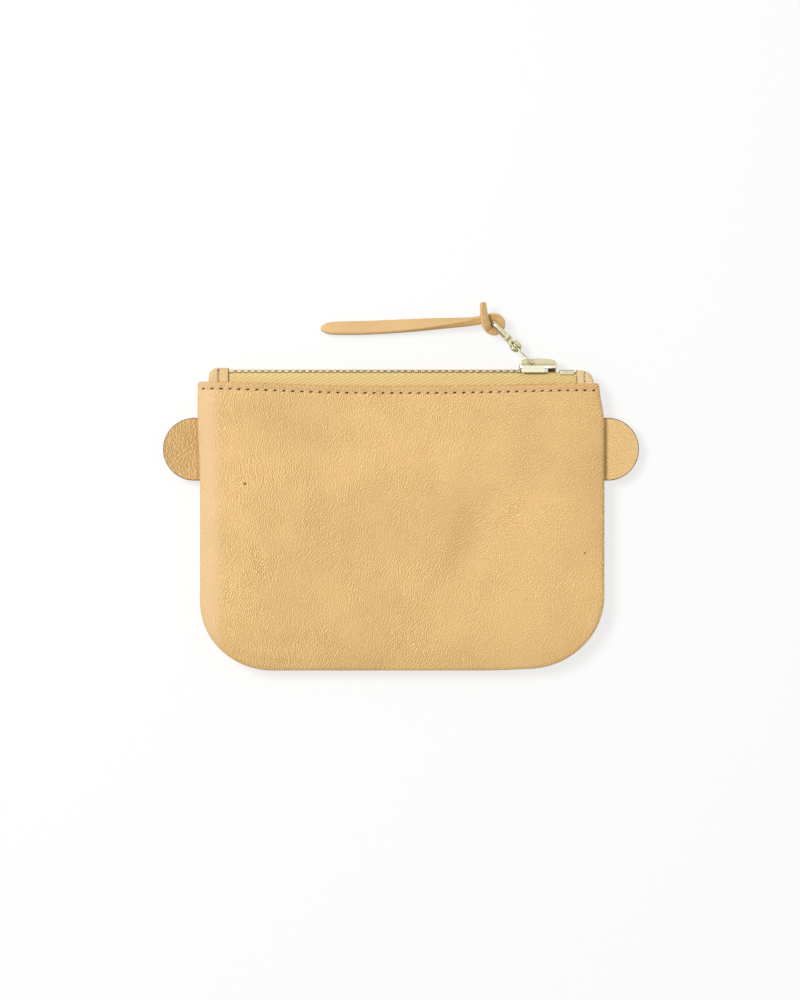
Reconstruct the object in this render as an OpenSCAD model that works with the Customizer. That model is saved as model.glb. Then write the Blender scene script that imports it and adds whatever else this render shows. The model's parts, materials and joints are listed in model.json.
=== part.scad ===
// Zippered leather pouch lying on its back, in millimetres.
// X runs along the mouth, Y from the bottom seam to the mouth, Z from the back panel to the front panel.
// The origin is the middle of the back panel's flat outer face.

/* [Pouch] */
// Width of the panels across the side seams
panel_w = 136; // [110:1:170]
// Height of the panels from the bottom seam to the mouth edge
panel_h = 96; // [76:1:130]
// Thickness of the closed pouch
pouch_t = 10; // [9:0.25:13]
// Thickness of the leather
leather_t = 1.2; // [0.9:0.05:1.4]
// Radius of the two lower corners
corner_r = 25; // [16:1:32]
// Width of the seam allowance turned inside
seam_allow = 7; // [5:0.5:10]
// Depth of the hem turned in at the mouth
hem_h = 9; // [7:0.5:13]

/* [Ears] */
// Height of a side tab along the seam
ear_h = 21; // [14:0.5:28]
// Reach of a side tab past the seam
ear_reach = 11.7; // [11:0.1:16]
// Distance from the mouth edge down to the middle of a side tab
ear_drop = 22; // [16:0.5:34]
// Length of a side tab caught inside the seam
ear_tang = 5; // [3:0.25:6]

/* [Zip chain] */
// Thickness of the zip tape
tape_t = 0.6; // [0.4:0.05:0.7]
// Height of the tape's corded edge above the mouth edge
tape_rise = 3.4; // [2.8:0.1:5]
// Depth of the tape below the mouth edge
tape_tuck = 12; // [10:0.5:16]
// Pitch of the teeth in one row
tooth_pitch = 2.28; // [2.1:0.02:2.8]
// Width of one tooth along the chain
tooth_w = 0.9; // [0.7:0.02:0.96]
// Height of the chain
tooth_h = 2.6; // [2.2:0.1:3]
// Height of the teeth above the tape's corded edge
tooth_above = 1.2; // [0.9:0.05:1.5]
// Height of the step under a tooth's hook
tooth_step = 0.65; // [0.4:0.05:0.8]
// Reach of a tooth past the middle of the chain
tooth_hook = 0.9; // [0.5:0.05:1.2]
// Thickness of a tooth's prong on each side of the tape
prong_t = 0.6; // [0.4:0.05:0.7]
// Length of a top stop
stop_len = 4.2; // [3:0.1:5]
// Distance from a top stop to the right end tab
stop_gap = 1.9; // [0.4:0.1:4]
// Length of the bottom stop
bottom_stop_len = 3.6; // [2.5:0.1:4.4]

/* [End tabs] */
// Width of the left end tab
left_tab_w = 6.6; // [5:0.1:9]
// Width of the right end tab
right_tab_w = 5.6; // [4.5:0.1:8]
// Distance from a side seam to the outer edge of an end tab
tab_margin = 3.8; // [3.6:0.1:8]
// Thickness of the skived end tab leather
tab_t = 0.8; // [0.6:0.05:0.9]
// Height of an end tab above the mouth edge
tab_rise = 5.2; // [4.8:0.1:7]
// Depth of an end tab tucked behind the hem
tab_tuck = 5; // [3:0.25:7]
// Radius of an end tab's outer shoulder
tab_r = 3; // [1:0.1:4]

/* [Stitching] */
// Stitch pitch
stitch_pitch = 3; // [2:0.1:4]
// Length of one stitch
stitch_len = 2.3; // [1.2:0.1:3]
// Width of the thread
thread_w = 0.6; // [0.4:0.05:0.8]
// Height of the thread
thread_t = 0.3; // [0.2:0.05:0.4]
// Stitch pitch on the end tabs
tab_stitch_pitch = 2.2; // [1.6:0.1:2.6]
// Length of one stitch on the end tabs
tab_stitch_len = 1.5; // [1:0.1:1.6]
// Distance from the mouth edge to the stitch row
stitch_inset = 2.7; // [2:0.1:4]
// Depth of the groove that the stitches lie in
groove_d = 0.4; // [0.3:0.05:0.5]

/* [Slider] */
// Length of the slider
slider_len = 13; // [11.5:0.1:15]
// Width of the slider's narrow end
slider_w = 8.4; // [8.1:0.1:9.4]
// Width of the slider at its shoulders
shoulder_w = 9.4; // [8.6:0.1:11]
// Bevel of the top plate's corners
plate_bevel = 0.9; // [0.4:0.1:1.4]
// Length of the slider's shoulder end
shoulder_len = 5.2; // [4:0.1:6.5]
// Thickness of the slider's plates
plate_t = 1; // [0.8:0.05:1.3]
// Thickness of the side flanges
flange_t = 0.65; // [0.5:0.05:0.7]
// Length of the side flanges
flange_len = 7.8; // [5:0.1:9]
// Depth of the side flanges below the top of the chain
flange_drop = 1.1; // [0.6:0.05:1.6]
// Length of the bottom plate
bottom_len = 11.6; // [8:0.1:12.2]
// Distance from the slider's wide end to the bottom plate and the post
end_margin = 0.5; // [0.3:0.05:1]
// Length of the post that parts the two rows
post_len = 4.2; // [3:0.1:4.6]
// Thickness of the post
post_t = 1.5; // [1:0.05:2]
// Height of the crown above the top plate
crown_h = 2.4; // [2.2:0.05:3.2]
// Width of the crown
crown_w = 3.5; // [3:0.1:3.8]
// Radius of the crown's top corners
crown_r = 1.2; // [0.6:0.1:1.5]
// Distance from each end of the slider to the crown
crown_inset = 0.3; // [0:0.05:1]
// Height of the link's bar above the top plate
bar_height = 1.1; // [0.9:0.05:1.3]
// Clearance between the slider and the chain
chain_gap = 0.3; // [0.2:0.05:0.4]

/* [Pull] */
// Angle of the pull link in the plane of the chain, from +X
pull_angle = 134.5; // [110:0.5:140]
// Distance of the link's bar to the left of the slider's middle
link_offset = 2.1; // [0:0.1:3]
// Distance from the link's bar to the swivel rivet
link_len = 7.6; // [7.2:0.1:10]
// Thickness of the link plate
link_t = 0.6; // [0.4:0.05:0.8]
// Radius of the link's round bar
link_bar_r = 0.55; // [0.45:0.05:0.6]
// Width of one leg of the link
link_leg_w = 1.1; // [0.9:0.05:1.5]
// Length of the link plate past its window
link_neck = 3; // [2.8:0.1:4]
// Length of the cross bar at the window's end
bridge_w = 0.7; // [0.5:0.05:0.8]
// Radius of the swivel eye
eye_r = 1.9; // [1.6:0.05:2]
// Radius of the swivel rivet
pin_r = 0.6; // [0.5:0.05:0.8]
// Radial play of the turning fits
play = 0.08; // [0.03:0.01:0.1]
// Side clearance of the turning fits
side_gap = 0.25; // [0.15:0.05:0.3]
// Radius of the rivet heads
head_r = 1.3; // [1:0.05:1.5]
// Radius of the rivet heads' flat tops
head_top_r = 0.8; // [0.5:0.05:0.9]
// Height of the rivet heads
head_h = 0.6; // [0.4:0.05:0.8]
// Thickness of one fork cheek
cheek_t = 0.8; // [0.6:0.05:1]
// Length of the yoke that carries the shackle's legs
yoke_len = 1.2; // [0.8:0.1:1.6]
// Distance from the swivel rivet to the shackle's end bar
shackle_len = 10.8; // [10:0.1:15]
// Radius of the shackle wire
wire_r = 0.8; // [0.6:0.05:0.9]
// Distance between the middles of the shackle's two legs
shackle_w = 5.2; // [4.8:0.1:6.4]

/* [Strap] */
// Length of the strap from the shackle's end bar to the free end
strap_len = 57.8; // [40:0.2:80]
// Width of the strap
strap_w = 5; // [4:0.1:6]
// Width of the strap where it leaves the loop
neck_w = 3.2; // [2.4:0.1:4]
// Length over which the strap widens from the loop
taper_len = 17.4; // [10:0.2:24]
// Thickness of the strap
strap_t = 1.8; // [1.2:0.1:2]
// Angle of the strap in the plane of the chain, from +X
strap_angle = 181.3; // [170:0.1:183]
// Outer radius of the strap's loop
loop_r = 3.9; // [3:0.1:4.5]
// Length of the strap's tail past the loop
tail_len = 10; // [6:0.2:14]
// Width of the tail
tail_w = 2.2; // [1.6:0.1:2.4]
// Thickness of the tail
tail_t = 1.4; // [1:0.1:1.5]
// Distance that the tail reaches below the strap's middle line
tail_drop = 3.1; // [2:0.1:3.4]
// Height of the strap's free end above the surface that the pouch lies on
strap_lift = 0.5; // [0.2:0.1:1.5]

/* [Hidden] */
$fn = 48;
leather_colour = [0.89, 0.73, 0.49];
tape_colour = [0.87, 0.78, 0.52];
brass_colour = [0.78, 0.68, 0.42];
gold_colour = [0.83, 0.78, 0.6];
thread_colour = [0.72, 0.56, 0.36];
// Middle plane of the pouch, where the two panels meet at the seam
mid_z = pouch_t / 2;
roll_r = pouch_t / 2;
half_w = panel_w / 2;
half_h = panel_h / 2;
cut = 1;
slack = 0.2;
// Heights below are measured from the middle plane
plate_in = roll_r - leather_t;
hem_in = roll_r - 2 * leather_t;
tape_in = hem_in - tape_t;
flat_x = half_w - roll_r;
ear_y = half_h - ear_drop;
// The tape stops short of the side rolls
tape_half = half_w - tab_margin - slack;
tape_top = half_h + tape_rise;
// The teeth sit astride the tape's corded edge
tooth_top = tape_top + tooth_above;
tooth_low = tooth_top - tooth_h;
prong_out = hem_in + prong_t;
left_tab_x = -half_w + tab_margin;
right_tab_x = half_w - tab_margin;
tab_out = hem_in + tab_t;
tab_top = half_h + tab_rise;
chain_start = left_tab_x + left_tab_w + slack;
// Slider levels
top_low = tooth_top + chain_gap;
top_high = top_low + plate_t;
crown_top = top_high + crown_h;
flange_low = tooth_top - flange_drop;
bottom_high = tooth_low - chain_gap;
bottom_low = bottom_high - plate_t;
bottom_half = tape_in - chain_gap;
// The closed slider stands against the top stops, which keep their distance from the right end tab
stop_x = right_tab_x - right_tab_w - stop_gap - stop_len;
slider_end = stop_x - slack;
slider_x = slider_end - slider_len / 2;
post_x = slider_end - end_margin - post_len;
chain_end = post_x - slack;
row_count = floor((chain_end - chain_start - tooth_pitch) / tooth_pitch);
// Pull places
pivot_x = slider_x - link_offset;
pivot_y = top_high + bar_height;
pull_u = [cos(pull_angle), sin(pull_angle)];
pin_x = pivot_x + link_len * pull_u[0];
pin_y = pivot_y + link_len * pull_u[1];
bar_x = pin_x + shackle_len * pull_u[0];
bar_y = pin_y + shackle_len * pull_u[1];
window_half = crown_w / 2 + side_gap;
link_half = window_half + link_leg_w;
window_end = link_len - link_neck;
cheek_in = link_t / 2 + play;
cheek_out = cheek_in + cheek_t;
fork_reach = eye_r + side_gap;
yoke_s = link_half + 2 * side_gap;
bend_r = wire_r + slack;
leg_z = shackle_w / 2;
loop_half = leg_z - wire_r - side_gap;
bore_r = wire_r + play;

// Outline of a panel, drawn in from the seam by inset and left full at the mouth
module panel_outline(inset, top) {
  arc_r = corner_r - inset;
  base_y = -half_h + corner_r;
  translate([-half_w + inset, base_y])
    square([panel_w - 2 * inset, top - base_y]);
  translate([-half_w + corner_r, -half_h + inset])
    square([panel_w - 2 * corner_r, arc_r]);
  for (side = [0, 1])
    mirror([side, 0])
      translate([half_w - corner_r, base_y])
        intersection() {
          circle(r = arc_r);
          translate([0, -arc_r])
            square(arc_r);
        }
}

// Quarter ring: the rolled edge in section
module roll_profile() {
  intersection() {
    difference() {
      circle(r = roll_r);
      circle(r = plate_in);
    }
    square(roll_r);
  }
}

// Section of the hem: inner layer and round fold at the mouth edge
module hem_profile() {
  fold_y = half_h - leather_t;
  translate([half_h - hem_h, hem_in])
    square([hem_h - leather_t, leather_t]);
  translate([fold_y, plate_in])
    intersection() {
      circle(r = leather_t);
      translate([0, -leather_t])
        square([leather_t, 2 * leather_t]);
    }
}

// Lays a section drawn in Y and Z along X, from x0 to x1
module along_x(x0, x1) {
  translate([x0, 0, 0])
    rotate([90, 0, 90])
      linear_extrude(height = x1 - x0)
        children();
}

// Solid block given by its two corners
module block(low, high) {
  translate(low)
    cube(high - low);
}

// One leather panel above the middle plane: flat face, rolled edges, seam allowance and hem
module half_pouch() {
  difference() {
    union() {
      translate([0, 0, plate_in])
        linear_extrude(height = leather_t)
          panel_outline(roll_r, half_h - leather_t);
      for (side = [0, 1])
        mirror([side, 0, 0]) {
          translate([flat_x, half_h - leather_t, 0])
            rotate([90, 0, 0])
              linear_extrude(height = panel_h - corner_r - leather_t)
                roll_profile();
          translate([half_w - corner_r, -half_h + corner_r, 0])
            rotate([0, 0, -90])
              rotate_extrude(angle = 90)
                translate([corner_r - roll_r, 0])
                  roll_profile();
        }
      translate([half_w - corner_r, -half_h + roll_r, 0])
        rotate([90, 0, -90])
          linear_extrude(height = panel_w - 2 * corner_r)
            roll_profile();
      // The seam allowance is trimmed below the hem, clear of the end tabs
      linear_extrude(height = leather_t)
        difference() {
          panel_outline(leather_t / 2, half_h - hem_h);
          panel_outline(seam_allow, half_h);
        }
      along_x(-flat_x, flat_x)
        hem_profile();
    }
    // Room for the end tabs behind the hem
    block([left_tab_x - cut, half_h - tab_tuck - slack, hem_in - cut],
          [left_tab_x + left_tab_w + slack, half_h + cut, tab_out + slack / 2]);
    block([right_tab_x - right_tab_w - slack, half_h - tab_tuck - slack, hem_in - cut],
          [right_tab_x + cut, half_h + cut, tab_out + slack / 2]);
    // Room for the side tabs between the two seam allowances
    for (side = [-1, 1])
      translate([side * half_w, ear_y, 0])
        cube([2 * (ear_tang + slack), ear_h + 2 * slack, leather_t], center = true);
    // Groove that the mouth stitching lies in
    block([-flat_x, half_h - stitch_inset - thread_w / 2 - slack / 2, roll_r - groove_d],
          [flat_x, half_h - stitch_inset + thread_w / 2 + slack / 2, roll_r + cut]);
  }
}

module front_panel() {
  color(leather_colour)
    translate([0, 0, mid_z])
      half_pouch();
}

module back_panel() {
  color(leather_colour)
    translate([0, 0, mid_z])
      mirror([0, 0, 1])
        half_pouch();
}

// Side tab on the right: a tongue with a half-round end
module ear() {
  round_x = half_w + ear_reach - ear_h / 2;
  tang_x = half_w - ear_tang;
  translate([0, ear_y, mid_z - leather_t / 2])
    linear_extrude(height = leather_t) {
      translate([tang_x, -ear_h / 2])
        square([round_x - tang_x, ear_h]);
      translate([round_x, 0])
        intersection() {
          circle(r = ear_h / 2);
          translate([0, -ear_h / 2])
            square([ear_h / 2, ear_h]);
        }
    }
}

module right_ear() {
  color(leather_colour)
    ear();
}

module left_ear() {
  color(leather_colour)
    mirror([1, 0, 0])
      ear();
}

// End tab folded over the zip's end, with its outer shoulder at x = 0 and its width along +X
module end_tab(width) {
  low_y = half_h - tab_tuck;
  intersection() {
    translate([0, 0, mid_z])
      along_x(0, width)
        difference() {
          translate([low_y, -tab_out])
            square([tab_top - low_y, 2 * tab_out]);
          translate([low_y - cut, -hem_in])
            square([tab_top - tab_t - low_y + cut, 2 * hem_in]);
        }
    linear_extrude(height = pouch_t) {
      translate([0, low_y])
        square([width, tab_top - tab_r - low_y]);
      translate([tab_r, tab_top - tab_r])
        square([width - tab_r, tab_r]);
      translate([tab_r, tab_top - tab_r])
        intersection() {
          circle(r = tab_r);
          translate([-tab_r, 0])
            square(tab_r);
        }
    }
  }
}

module left_end_tab() {
  color(leather_colour)
    translate([left_tab_x, 0, 0])
      end_tab(left_tab_w);
}

module right_end_tab() {
  color(leather_colour)
    translate([right_tab_x, 0, 0])
      mirror([1, 0, 0])
        end_tab(right_tab_w);
}

module front_tape() {
  color(tape_colour)
    block([-tape_half, half_h - tape_tuck, mid_z + tape_in],
          [tape_half, tape_top, mid_z + hem_in]);
}

module back_tape() {
  color(tape_colour)
    block([-tape_half, half_h - tape_tuck, mid_z - hem_in],
          [tape_half, tape_top, mid_z - tape_in]);
}

// One tooth of the front row, astride the corded edge
module tooth() {
  difference() {
    block([-tooth_w / 2, tooth_low, mid_z - tooth_hook],
          [tooth_w / 2, tooth_top, mid_z + prong_out]);
    block([-tooth_w, tooth_low - cut, mid_z + tape_in],
          [tooth_w, tape_top, mid_z + hem_in]);
    block([-tooth_w, tooth_low - cut, mid_z - tooth_hook - cut],
          [tooth_w, tooth_low + tooth_step, mid_z + tooth_hook]);
  }
}

module front_teeth() {
  color(brass_colour)
    for (i = [0 : row_count])
      translate([chain_start + tooth_w + tooth_pitch * i, 0, 0])
        tooth();
}

module back_teeth() {
  color(brass_colour)
    for (i = [0 : row_count])
      translate([chain_start + tooth_w + tooth_pitch * (i + 1 / 2), 0, mid_z])
        mirror([0, 0, 1])
          translate([0, 0, -mid_z])
            tooth();
}

// Top stop clamped on the front tape's edge
module top_stop() {
  difference() {
    block([stop_x, tooth_low + slack, mid_z + tape_in - prong_t],
          [stop_x + stop_len, tooth_top - slack / 2, mid_z + prong_out]);
    block([stop_x - cut, tooth_low - cut, mid_z + tape_in],
          [stop_x + stop_len + cut, tape_top, mid_z + hem_in]);
  }
}

module top_stops() {
  color(brass_colour) {
    top_stop();
    translate([0, 0, mid_z])
      mirror([0, 0, 1])
        translate([0, 0, -mid_z])
          top_stop();
  }
}

module bottom_stop() {
  color(brass_colour)
    block([chain_start - slack - bottom_stop_len, tooth_low, mid_z - tape_in],
          [chain_start - slack, tape_top, mid_z + tape_in]);
}

// Mouth stitching of the front: stitches in the groove, and on the inside of the tape between the end tabs
module mouth_stitches() {
  reach = half_w - tab_margin - stitch_pitch;
  count = floor(2 * reach / stitch_pitch);
  inner_low = chain_start + stitch_len;
  inner_high = right_tab_x - right_tab_w - stitch_len;
  for (i = [0 : count - 1]) {
    x = (i - (count - 1) / 2) * stitch_pitch;
    translate([x - stitch_len / 2, half_h - stitch_inset - thread_w / 2, mid_z]) {
      translate([0, 0, roll_r - groove_d])
        cube([stitch_len, thread_w, thread_t]);
      if (x > inner_low && x < inner_high)
        translate([0, 0, tape_in - thread_t])
          cube([stitch_len, thread_w, thread_t]);
    }
  }
}

module front_top_thread() {
  color(thread_colour)
    mouth_stitches();
}

module back_top_thread() {
  color(thread_colour)
    translate([0, 0, mid_z])
      mirror([0, 0, 1])
        translate([0, 0, -mid_z])
          mouth_stitches();
}

// Stitches across an end tab, above the mouth edge, on both leaves
module tab_stitches(x) {
  count = floor((tab_rise - tab_t) / tab_stitch_pitch);
  first_y = half_h + (tab_stitch_pitch - tab_stitch_len) / 2;
  for (i = [0 : count - 1])
    for (face = [tab_out, -tab_out - thread_t])
      translate([x - thread_w / 2, first_y + tab_stitch_pitch * i, mid_z + face])
        cube([thread_w, tab_stitch_len, thread_t]);
}

module left_tab_thread() {
  color(thread_colour)
    tab_stitches(left_tab_x + left_tab_w / 2);
}

module right_tab_thread() {
  color(thread_colour)
    tab_stitches(right_tab_x - right_tab_w / 2);
}

// One seam stitch under the back panel's seam allowance, along X
module seam_stitch() {
  translate([-stitch_len / 2, -thread_w / 2, mid_z - leather_t - thread_t])
    cube([stitch_len, thread_w, thread_t]);
}

// Seam stitching: down both sides, round the corners and along the bottom
module seam_thread() {
  inset = seam_allow / 2;
  side_len = panel_h - corner_r - hem_h - slack;
  side_count = floor(side_len / stitch_pitch);
  base_len = panel_w - 2 * corner_r;
  base_count = floor(base_len / stitch_pitch);
  arc_r = corner_r - inset;
  arc_count = floor(arc_r * PI / 2 / stitch_pitch);
  color(thread_colour) {
    for (side = [-1, 1])
      for (i = [0 : side_count - 1])
        translate([side * (half_w - inset), -half_h + corner_r + (i + 0.5) * stitch_pitch, 0])
          rotate([0, 0, 90])
            seam_stitch();
    for (i = [0 : base_count - 1])
      translate([(i - (base_count - 1) / 2) * stitch_pitch, -half_h + inset, 0])
        seam_stitch();
    for (side = [-1, 1])
      for (i = [0 : arc_count - 1])
        translate([side * (half_w - corner_r), -half_h + corner_r, 0])
          rotate([0, 0, side * (i + 0.5) * 90 / arc_count])
            translate([0, -arc_r, 0])
              seam_stitch();
  }
}

// Plan of the slider's top plate, in X and Z, from the narrow end to the shoulders
module slider_plan() {
  nose = slider_len / 2;
  narrow = slider_w / 2;
  wide = shoulder_w / 2;
  neck_x = nose - shoulder_len;
  wide_x = nose - 2 * plate_bevel;
  side = [[-nose, narrow - plate_bevel], [-nose + plate_bevel, narrow], [neck_x, narrow],
          [wide_x, wide], [nose, wide - 2 * plate_bevel]];
  other = [for (i = [len(side) - 1 : -1 : 0]) [side[i][0], -side[i][1]]];
  polygon(concat(side, other));
}

// Side view of the crown, in X and Y
module crown_side() {
  half = slider_len / 2 - crown_inset;
  translate([-half, 0])
    square([2 * half, crown_h - crown_r]);
  translate([-half + crown_r, crown_h - crown_r])
    square([2 * (half - crown_r), crown_r]);
  for (side = [0, 1])
    mirror([side, 0])
      translate([half - crown_r, crown_h - crown_r])
        intersection() {
          circle(r = crown_r);
          square(crown_r);
        }
}

// Post that parts the two rows, in X and Z, with its edge to the narrow end
module post_plan() {
  broad_x = post_len * 2 / 5;
  polygon([[0, 0], [broad_x, -post_t / 2], [post_len, -post_t / 4],
           [post_len, post_t / 4], [broad_x, post_t / 2]]);
}

module slider_body() {
  flange_x = slider_x - slider_len / 2 + plate_bevel;
  flange_z = slider_w / 2 - flange_t;
  bottom_end = slider_end - end_margin;
  color(gold_colour)
    difference() {
      union() {
        translate([slider_x, top_high, mid_z])
          rotate([90, 0, 0])
            linear_extrude(height = plate_t)
              slider_plan();
        for (z = [flange_z, -flange_z - flange_t])
          translate([flange_x, flange_low, mid_z + z])
            cube([flange_len, top_high - flange_low, flange_t]);
        block([bottom_end - bottom_len, bottom_low, mid_z - bottom_half],
              [bottom_end, bottom_high, mid_z + bottom_half]);
        translate([post_x, top_low, mid_z])
          rotate([90, 0, 0])
            linear_extrude(height = top_low - bottom_high)
              post_plan();
        translate([slider_x, top_high, mid_z - crown_w / 2])
          linear_extrude(height = crown_w)
            crown_side();
      }
      translate([pivot_x, pivot_y, mid_z - crown_w])
        cylinder(r = link_bar_r + play, h = 2 * crown_w);
    }
}

// Turns a piece drawn along X, thickness along Y, width along Z, to the pull's direction at a place
module along_pull(x, y) {
  translate([x, y, mid_z])
    rotate([0, 0, pull_angle])
      children();
}

// Plate drawn in X and Z, given thickness t about Y
module upright_plate(t) {
  translate([0, t / 2, 0])
    rotate([90, 0, 0])
      linear_extrude(height = t)
        children();
}

module pull_link() {
  color(gold_colour)
    along_pull(pivot_x, pivot_y) {
      translate([0, 0, -link_half])
        cylinder(r = link_bar_r, h = 2 * link_half);
      difference() {
        upright_plate(link_t) {
          for (side = [-1, 1])
            translate([0, side * (window_half + link_leg_w / 2) - link_leg_w / 2])
              square([window_end, link_leg_w]);
          translate([window_end, -link_half])
            square([bridge_w, 2 * link_half]);
          translate([window_end + bridge_w, -eye_r])
            square([link_len - window_end - bridge_w, 2 * eye_r]);
          translate([link_len, 0])
            intersection() {
              circle(r = eye_r);
              translate([0, -eye_r])
                square([eye_r, 2 * eye_r]);
            }
        }
        translate([link_len, link_t, 0])
          rotate([90, 0, 0])
            cylinder(r = pin_r + play, h = 2 * link_t);
      }
    }
}

// One cheek of the shackle's fork
module fork_cheek() {
  difference() {
    upright_plate(cheek_t) {
      intersection() {
        circle(r = eye_r);
        translate([-eye_r, -eye_r])
          square([eye_r, 2 * eye_r]);
      }
      translate([0, -eye_r])
        square([fork_reach, 2 * eye_r]);
    }
    translate([0, cheek_t, 0])
      rotate([90, 0, 0])
        cylinder(r = pin_r + play / 4, h = 2 * cheek_t);
  }
}

module pull_shackle() {
  leg_start = yoke_s + yoke_len;
  color(gold_colour)
    along_pull(pin_x, pin_y) {
      for (side = [-1, 1])
        translate([0, side * (cheek_in + cheek_t / 2), 0])
          fork_cheek();
      block([fork_reach, -cheek_out, -eye_r], [yoke_s, cheek_out, eye_r]);
      block([yoke_s, -cheek_out, -leg_z - wire_r], [leg_start, cheek_out, leg_z + wire_r]);
      for (side = [0, 1])
        mirror([0, 0, side]) {
          translate([leg_start, 0, leg_z])
            rotate([0, 90, 0])
              cylinder(r = wire_r, h = shackle_len - bend_r - leg_start);
          translate([shackle_len - bend_r, 0, leg_z - bend_r])
            rotate([90, 0, 0])
              rotate_extrude(angle = 90)
                translate([bend_r, 0])
                  circle(r = wire_r);
        }
      translate([shackle_len, 0, bend_r - leg_z])
        cylinder(r = wire_r, h = 2 * (leg_z - bend_r));
    }
}

module shackle_pin() {
  color(gold_colour)
    along_pull(pin_x, pin_y)
      for (side = [0, 1])
        mirror([0, side, 0]) {
          rotate([-90, 0, 0])
            cylinder(r = pin_r, h = cheek_out);
          translate([0, cheek_out, 0])
            rotate([-90, 0, 0])
              cylinder(r1 = head_r, r2 = head_top_r, h = head_h);
        }
}

// Thin slice across the strap at distance t along it, w wide, at height z
module strap_slice(t, w, z) {
  translate([t, -w / 2, z - strap_t / 2])
    cube([slack, w, strap_t]);
}

module pull_strap() {
  drop = mid_z - strap_t / 2 - strap_lift;
  taper_z = -drop * taper_len / strap_len;
  tip_t = strap_len - strap_w / 2;
  tail_in = wire_r + 3 * side_gap;
  color(leather_colour)
    translate([bar_x, bar_y, mid_z])
      rotate([0, 0, strap_angle]) {
        difference() {
          translate([0, 0, -loop_half])
            cylinder(r = loop_r, h = 2 * loop_half);
          translate([0, 0, -loop_half - cut])
            cylinder(r = bore_r, h = 2 * (loop_half + cut));
        }
        hull() {
          strap_slice(loop_r - cut, neck_w, 0);
          strap_slice(taper_len, strap_w, taper_z);
        }
        hull() {
          strap_slice(taper_len, strap_w, taper_z);
          translate([tip_t, 0, -drop - strap_t / 2])
            cylinder(r = strap_w / 2, h = strap_t, $fn = 32);
        }
        block([tail_in, tail_drop - tail_len, loop_half],
              [tail_in + tail_w, tail_drop, loop_half + tail_t]);
      }
}

back_panel();
front_panel();
left_ear();
right_ear();
left_end_tab();
right_end_tab();
back_tape();
front_tape();
back_teeth();
front_teeth();
top_stops();
bottom_stop();
front_top_thread();
back_top_thread();
left_tab_thread();
right_tab_thread();
seam_thread();
slider_body();
pull_link();
pull_shackle();
shackle_pin();
pull_strap();
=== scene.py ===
import json
import math

import bmesh
import bpy
import numpy as np
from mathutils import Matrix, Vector


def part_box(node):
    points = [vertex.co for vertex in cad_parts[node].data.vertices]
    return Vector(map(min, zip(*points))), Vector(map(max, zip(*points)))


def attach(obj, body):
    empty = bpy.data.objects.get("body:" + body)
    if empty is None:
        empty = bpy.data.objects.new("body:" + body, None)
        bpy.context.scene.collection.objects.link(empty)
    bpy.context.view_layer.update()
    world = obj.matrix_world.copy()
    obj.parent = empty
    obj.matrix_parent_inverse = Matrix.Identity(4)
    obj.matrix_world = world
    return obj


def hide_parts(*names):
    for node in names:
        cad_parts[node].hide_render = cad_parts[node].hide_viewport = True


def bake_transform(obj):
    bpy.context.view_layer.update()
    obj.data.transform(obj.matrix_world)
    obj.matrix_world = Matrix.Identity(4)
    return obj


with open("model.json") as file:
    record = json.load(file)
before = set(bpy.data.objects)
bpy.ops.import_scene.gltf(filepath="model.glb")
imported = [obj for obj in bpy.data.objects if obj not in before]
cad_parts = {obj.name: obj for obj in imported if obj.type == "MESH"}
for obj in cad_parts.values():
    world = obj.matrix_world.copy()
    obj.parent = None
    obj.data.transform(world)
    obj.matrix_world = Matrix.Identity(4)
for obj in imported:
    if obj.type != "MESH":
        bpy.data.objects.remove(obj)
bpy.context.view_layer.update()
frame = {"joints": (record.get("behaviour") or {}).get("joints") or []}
scene = bpy.context.scene

# Lengths below are in millimetres and become metres when a mesh is made.
MM = 0.001
# Millimetres of a flat pattern in one unit of a UV map.
UV_SPAN = 100.0
FULL_TURN = 2 * math.pi


def node_box(node):
    low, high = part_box(node)
    return np.array(low) / MM, np.array(high) / MM


# Driving dimensions, read from the frame. ROLL_R, HEM_IN and TAPE_IN are heights over the middle plane,
# MID_Z: of the panel's face, of the tape's outer side under the hem and of the tape's inner side.
HALF_W, HALF_H, TOP_Z = node_box("front_panel")[1]
MID_Z = (TOP_Z + node_box("back_panel")[0][2]) / 2
ROLL_R = TOP_Z - MID_Z
TAPE_LOW, TAPE_HIGH = node_box("front_tape")
HEM_IN = TAPE_HIGH[2] - MID_Z
TAPE_IN = TAPE_LOW[2] - MID_Z
LEATHER_T = (ROLL_R - HEM_IN) / 2
TOOTH_LOW, TOOTH_HIGH = node_box("front_teeth")
CHAIN_Y = (TOOTH_LOW[1] + TOOTH_HIGH[1]) / 2

# Sizes that no box gives.
CORNER_R = 25.0
SEAM_ALLOW = 7.0
HEM_H = 9.0
STITCH_PITCH = 3.0
STITCH_Y = HALF_H - 2.4
THREAD_R = 0.27
# Where the mouth would open, left and right, measured along X; nothing here opens it.
OPEN_LEFT = (-52.0, -2.0)
OPEN_RIGHT = (62.0, 8.0)


# Numbers and places

def smooth(value):
    t = np.clip(value, 0.0, 1.0)
    return t * t * (3 - 2 * t)


def ramp(value, start, end):
    """0 at start and 1 at end, with a soft step between."""
    return smooth((value - start) / (end - start))


def bell(value, middle, width):
    """1 at the middle, falling away to both sides."""
    return np.exp(-((value - middle) / width) ** 2)


def columns(*parts):
    """Points from their coordinates, any of which may be one number for all."""
    return np.column_stack(np.broadcast_arrays(*parts))


def running(points):
    """Length along a line of points, from 0 at the first."""
    return np.concatenate([[0], np.cumsum(np.linalg.norm(np.diff(points, axis=0), axis=1))])


def unit(vectors):
    return vectors / np.linalg.norm(vectors, axis=1, keepdims=True)


def ring_angles(sides):
    return np.linspace(0, FULL_TURN, sides, endpoint=False)


# The angles of a quarter turn, without its start.
QUARTER = np.radians(np.linspace(0, 90, 9))[1:]


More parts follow.
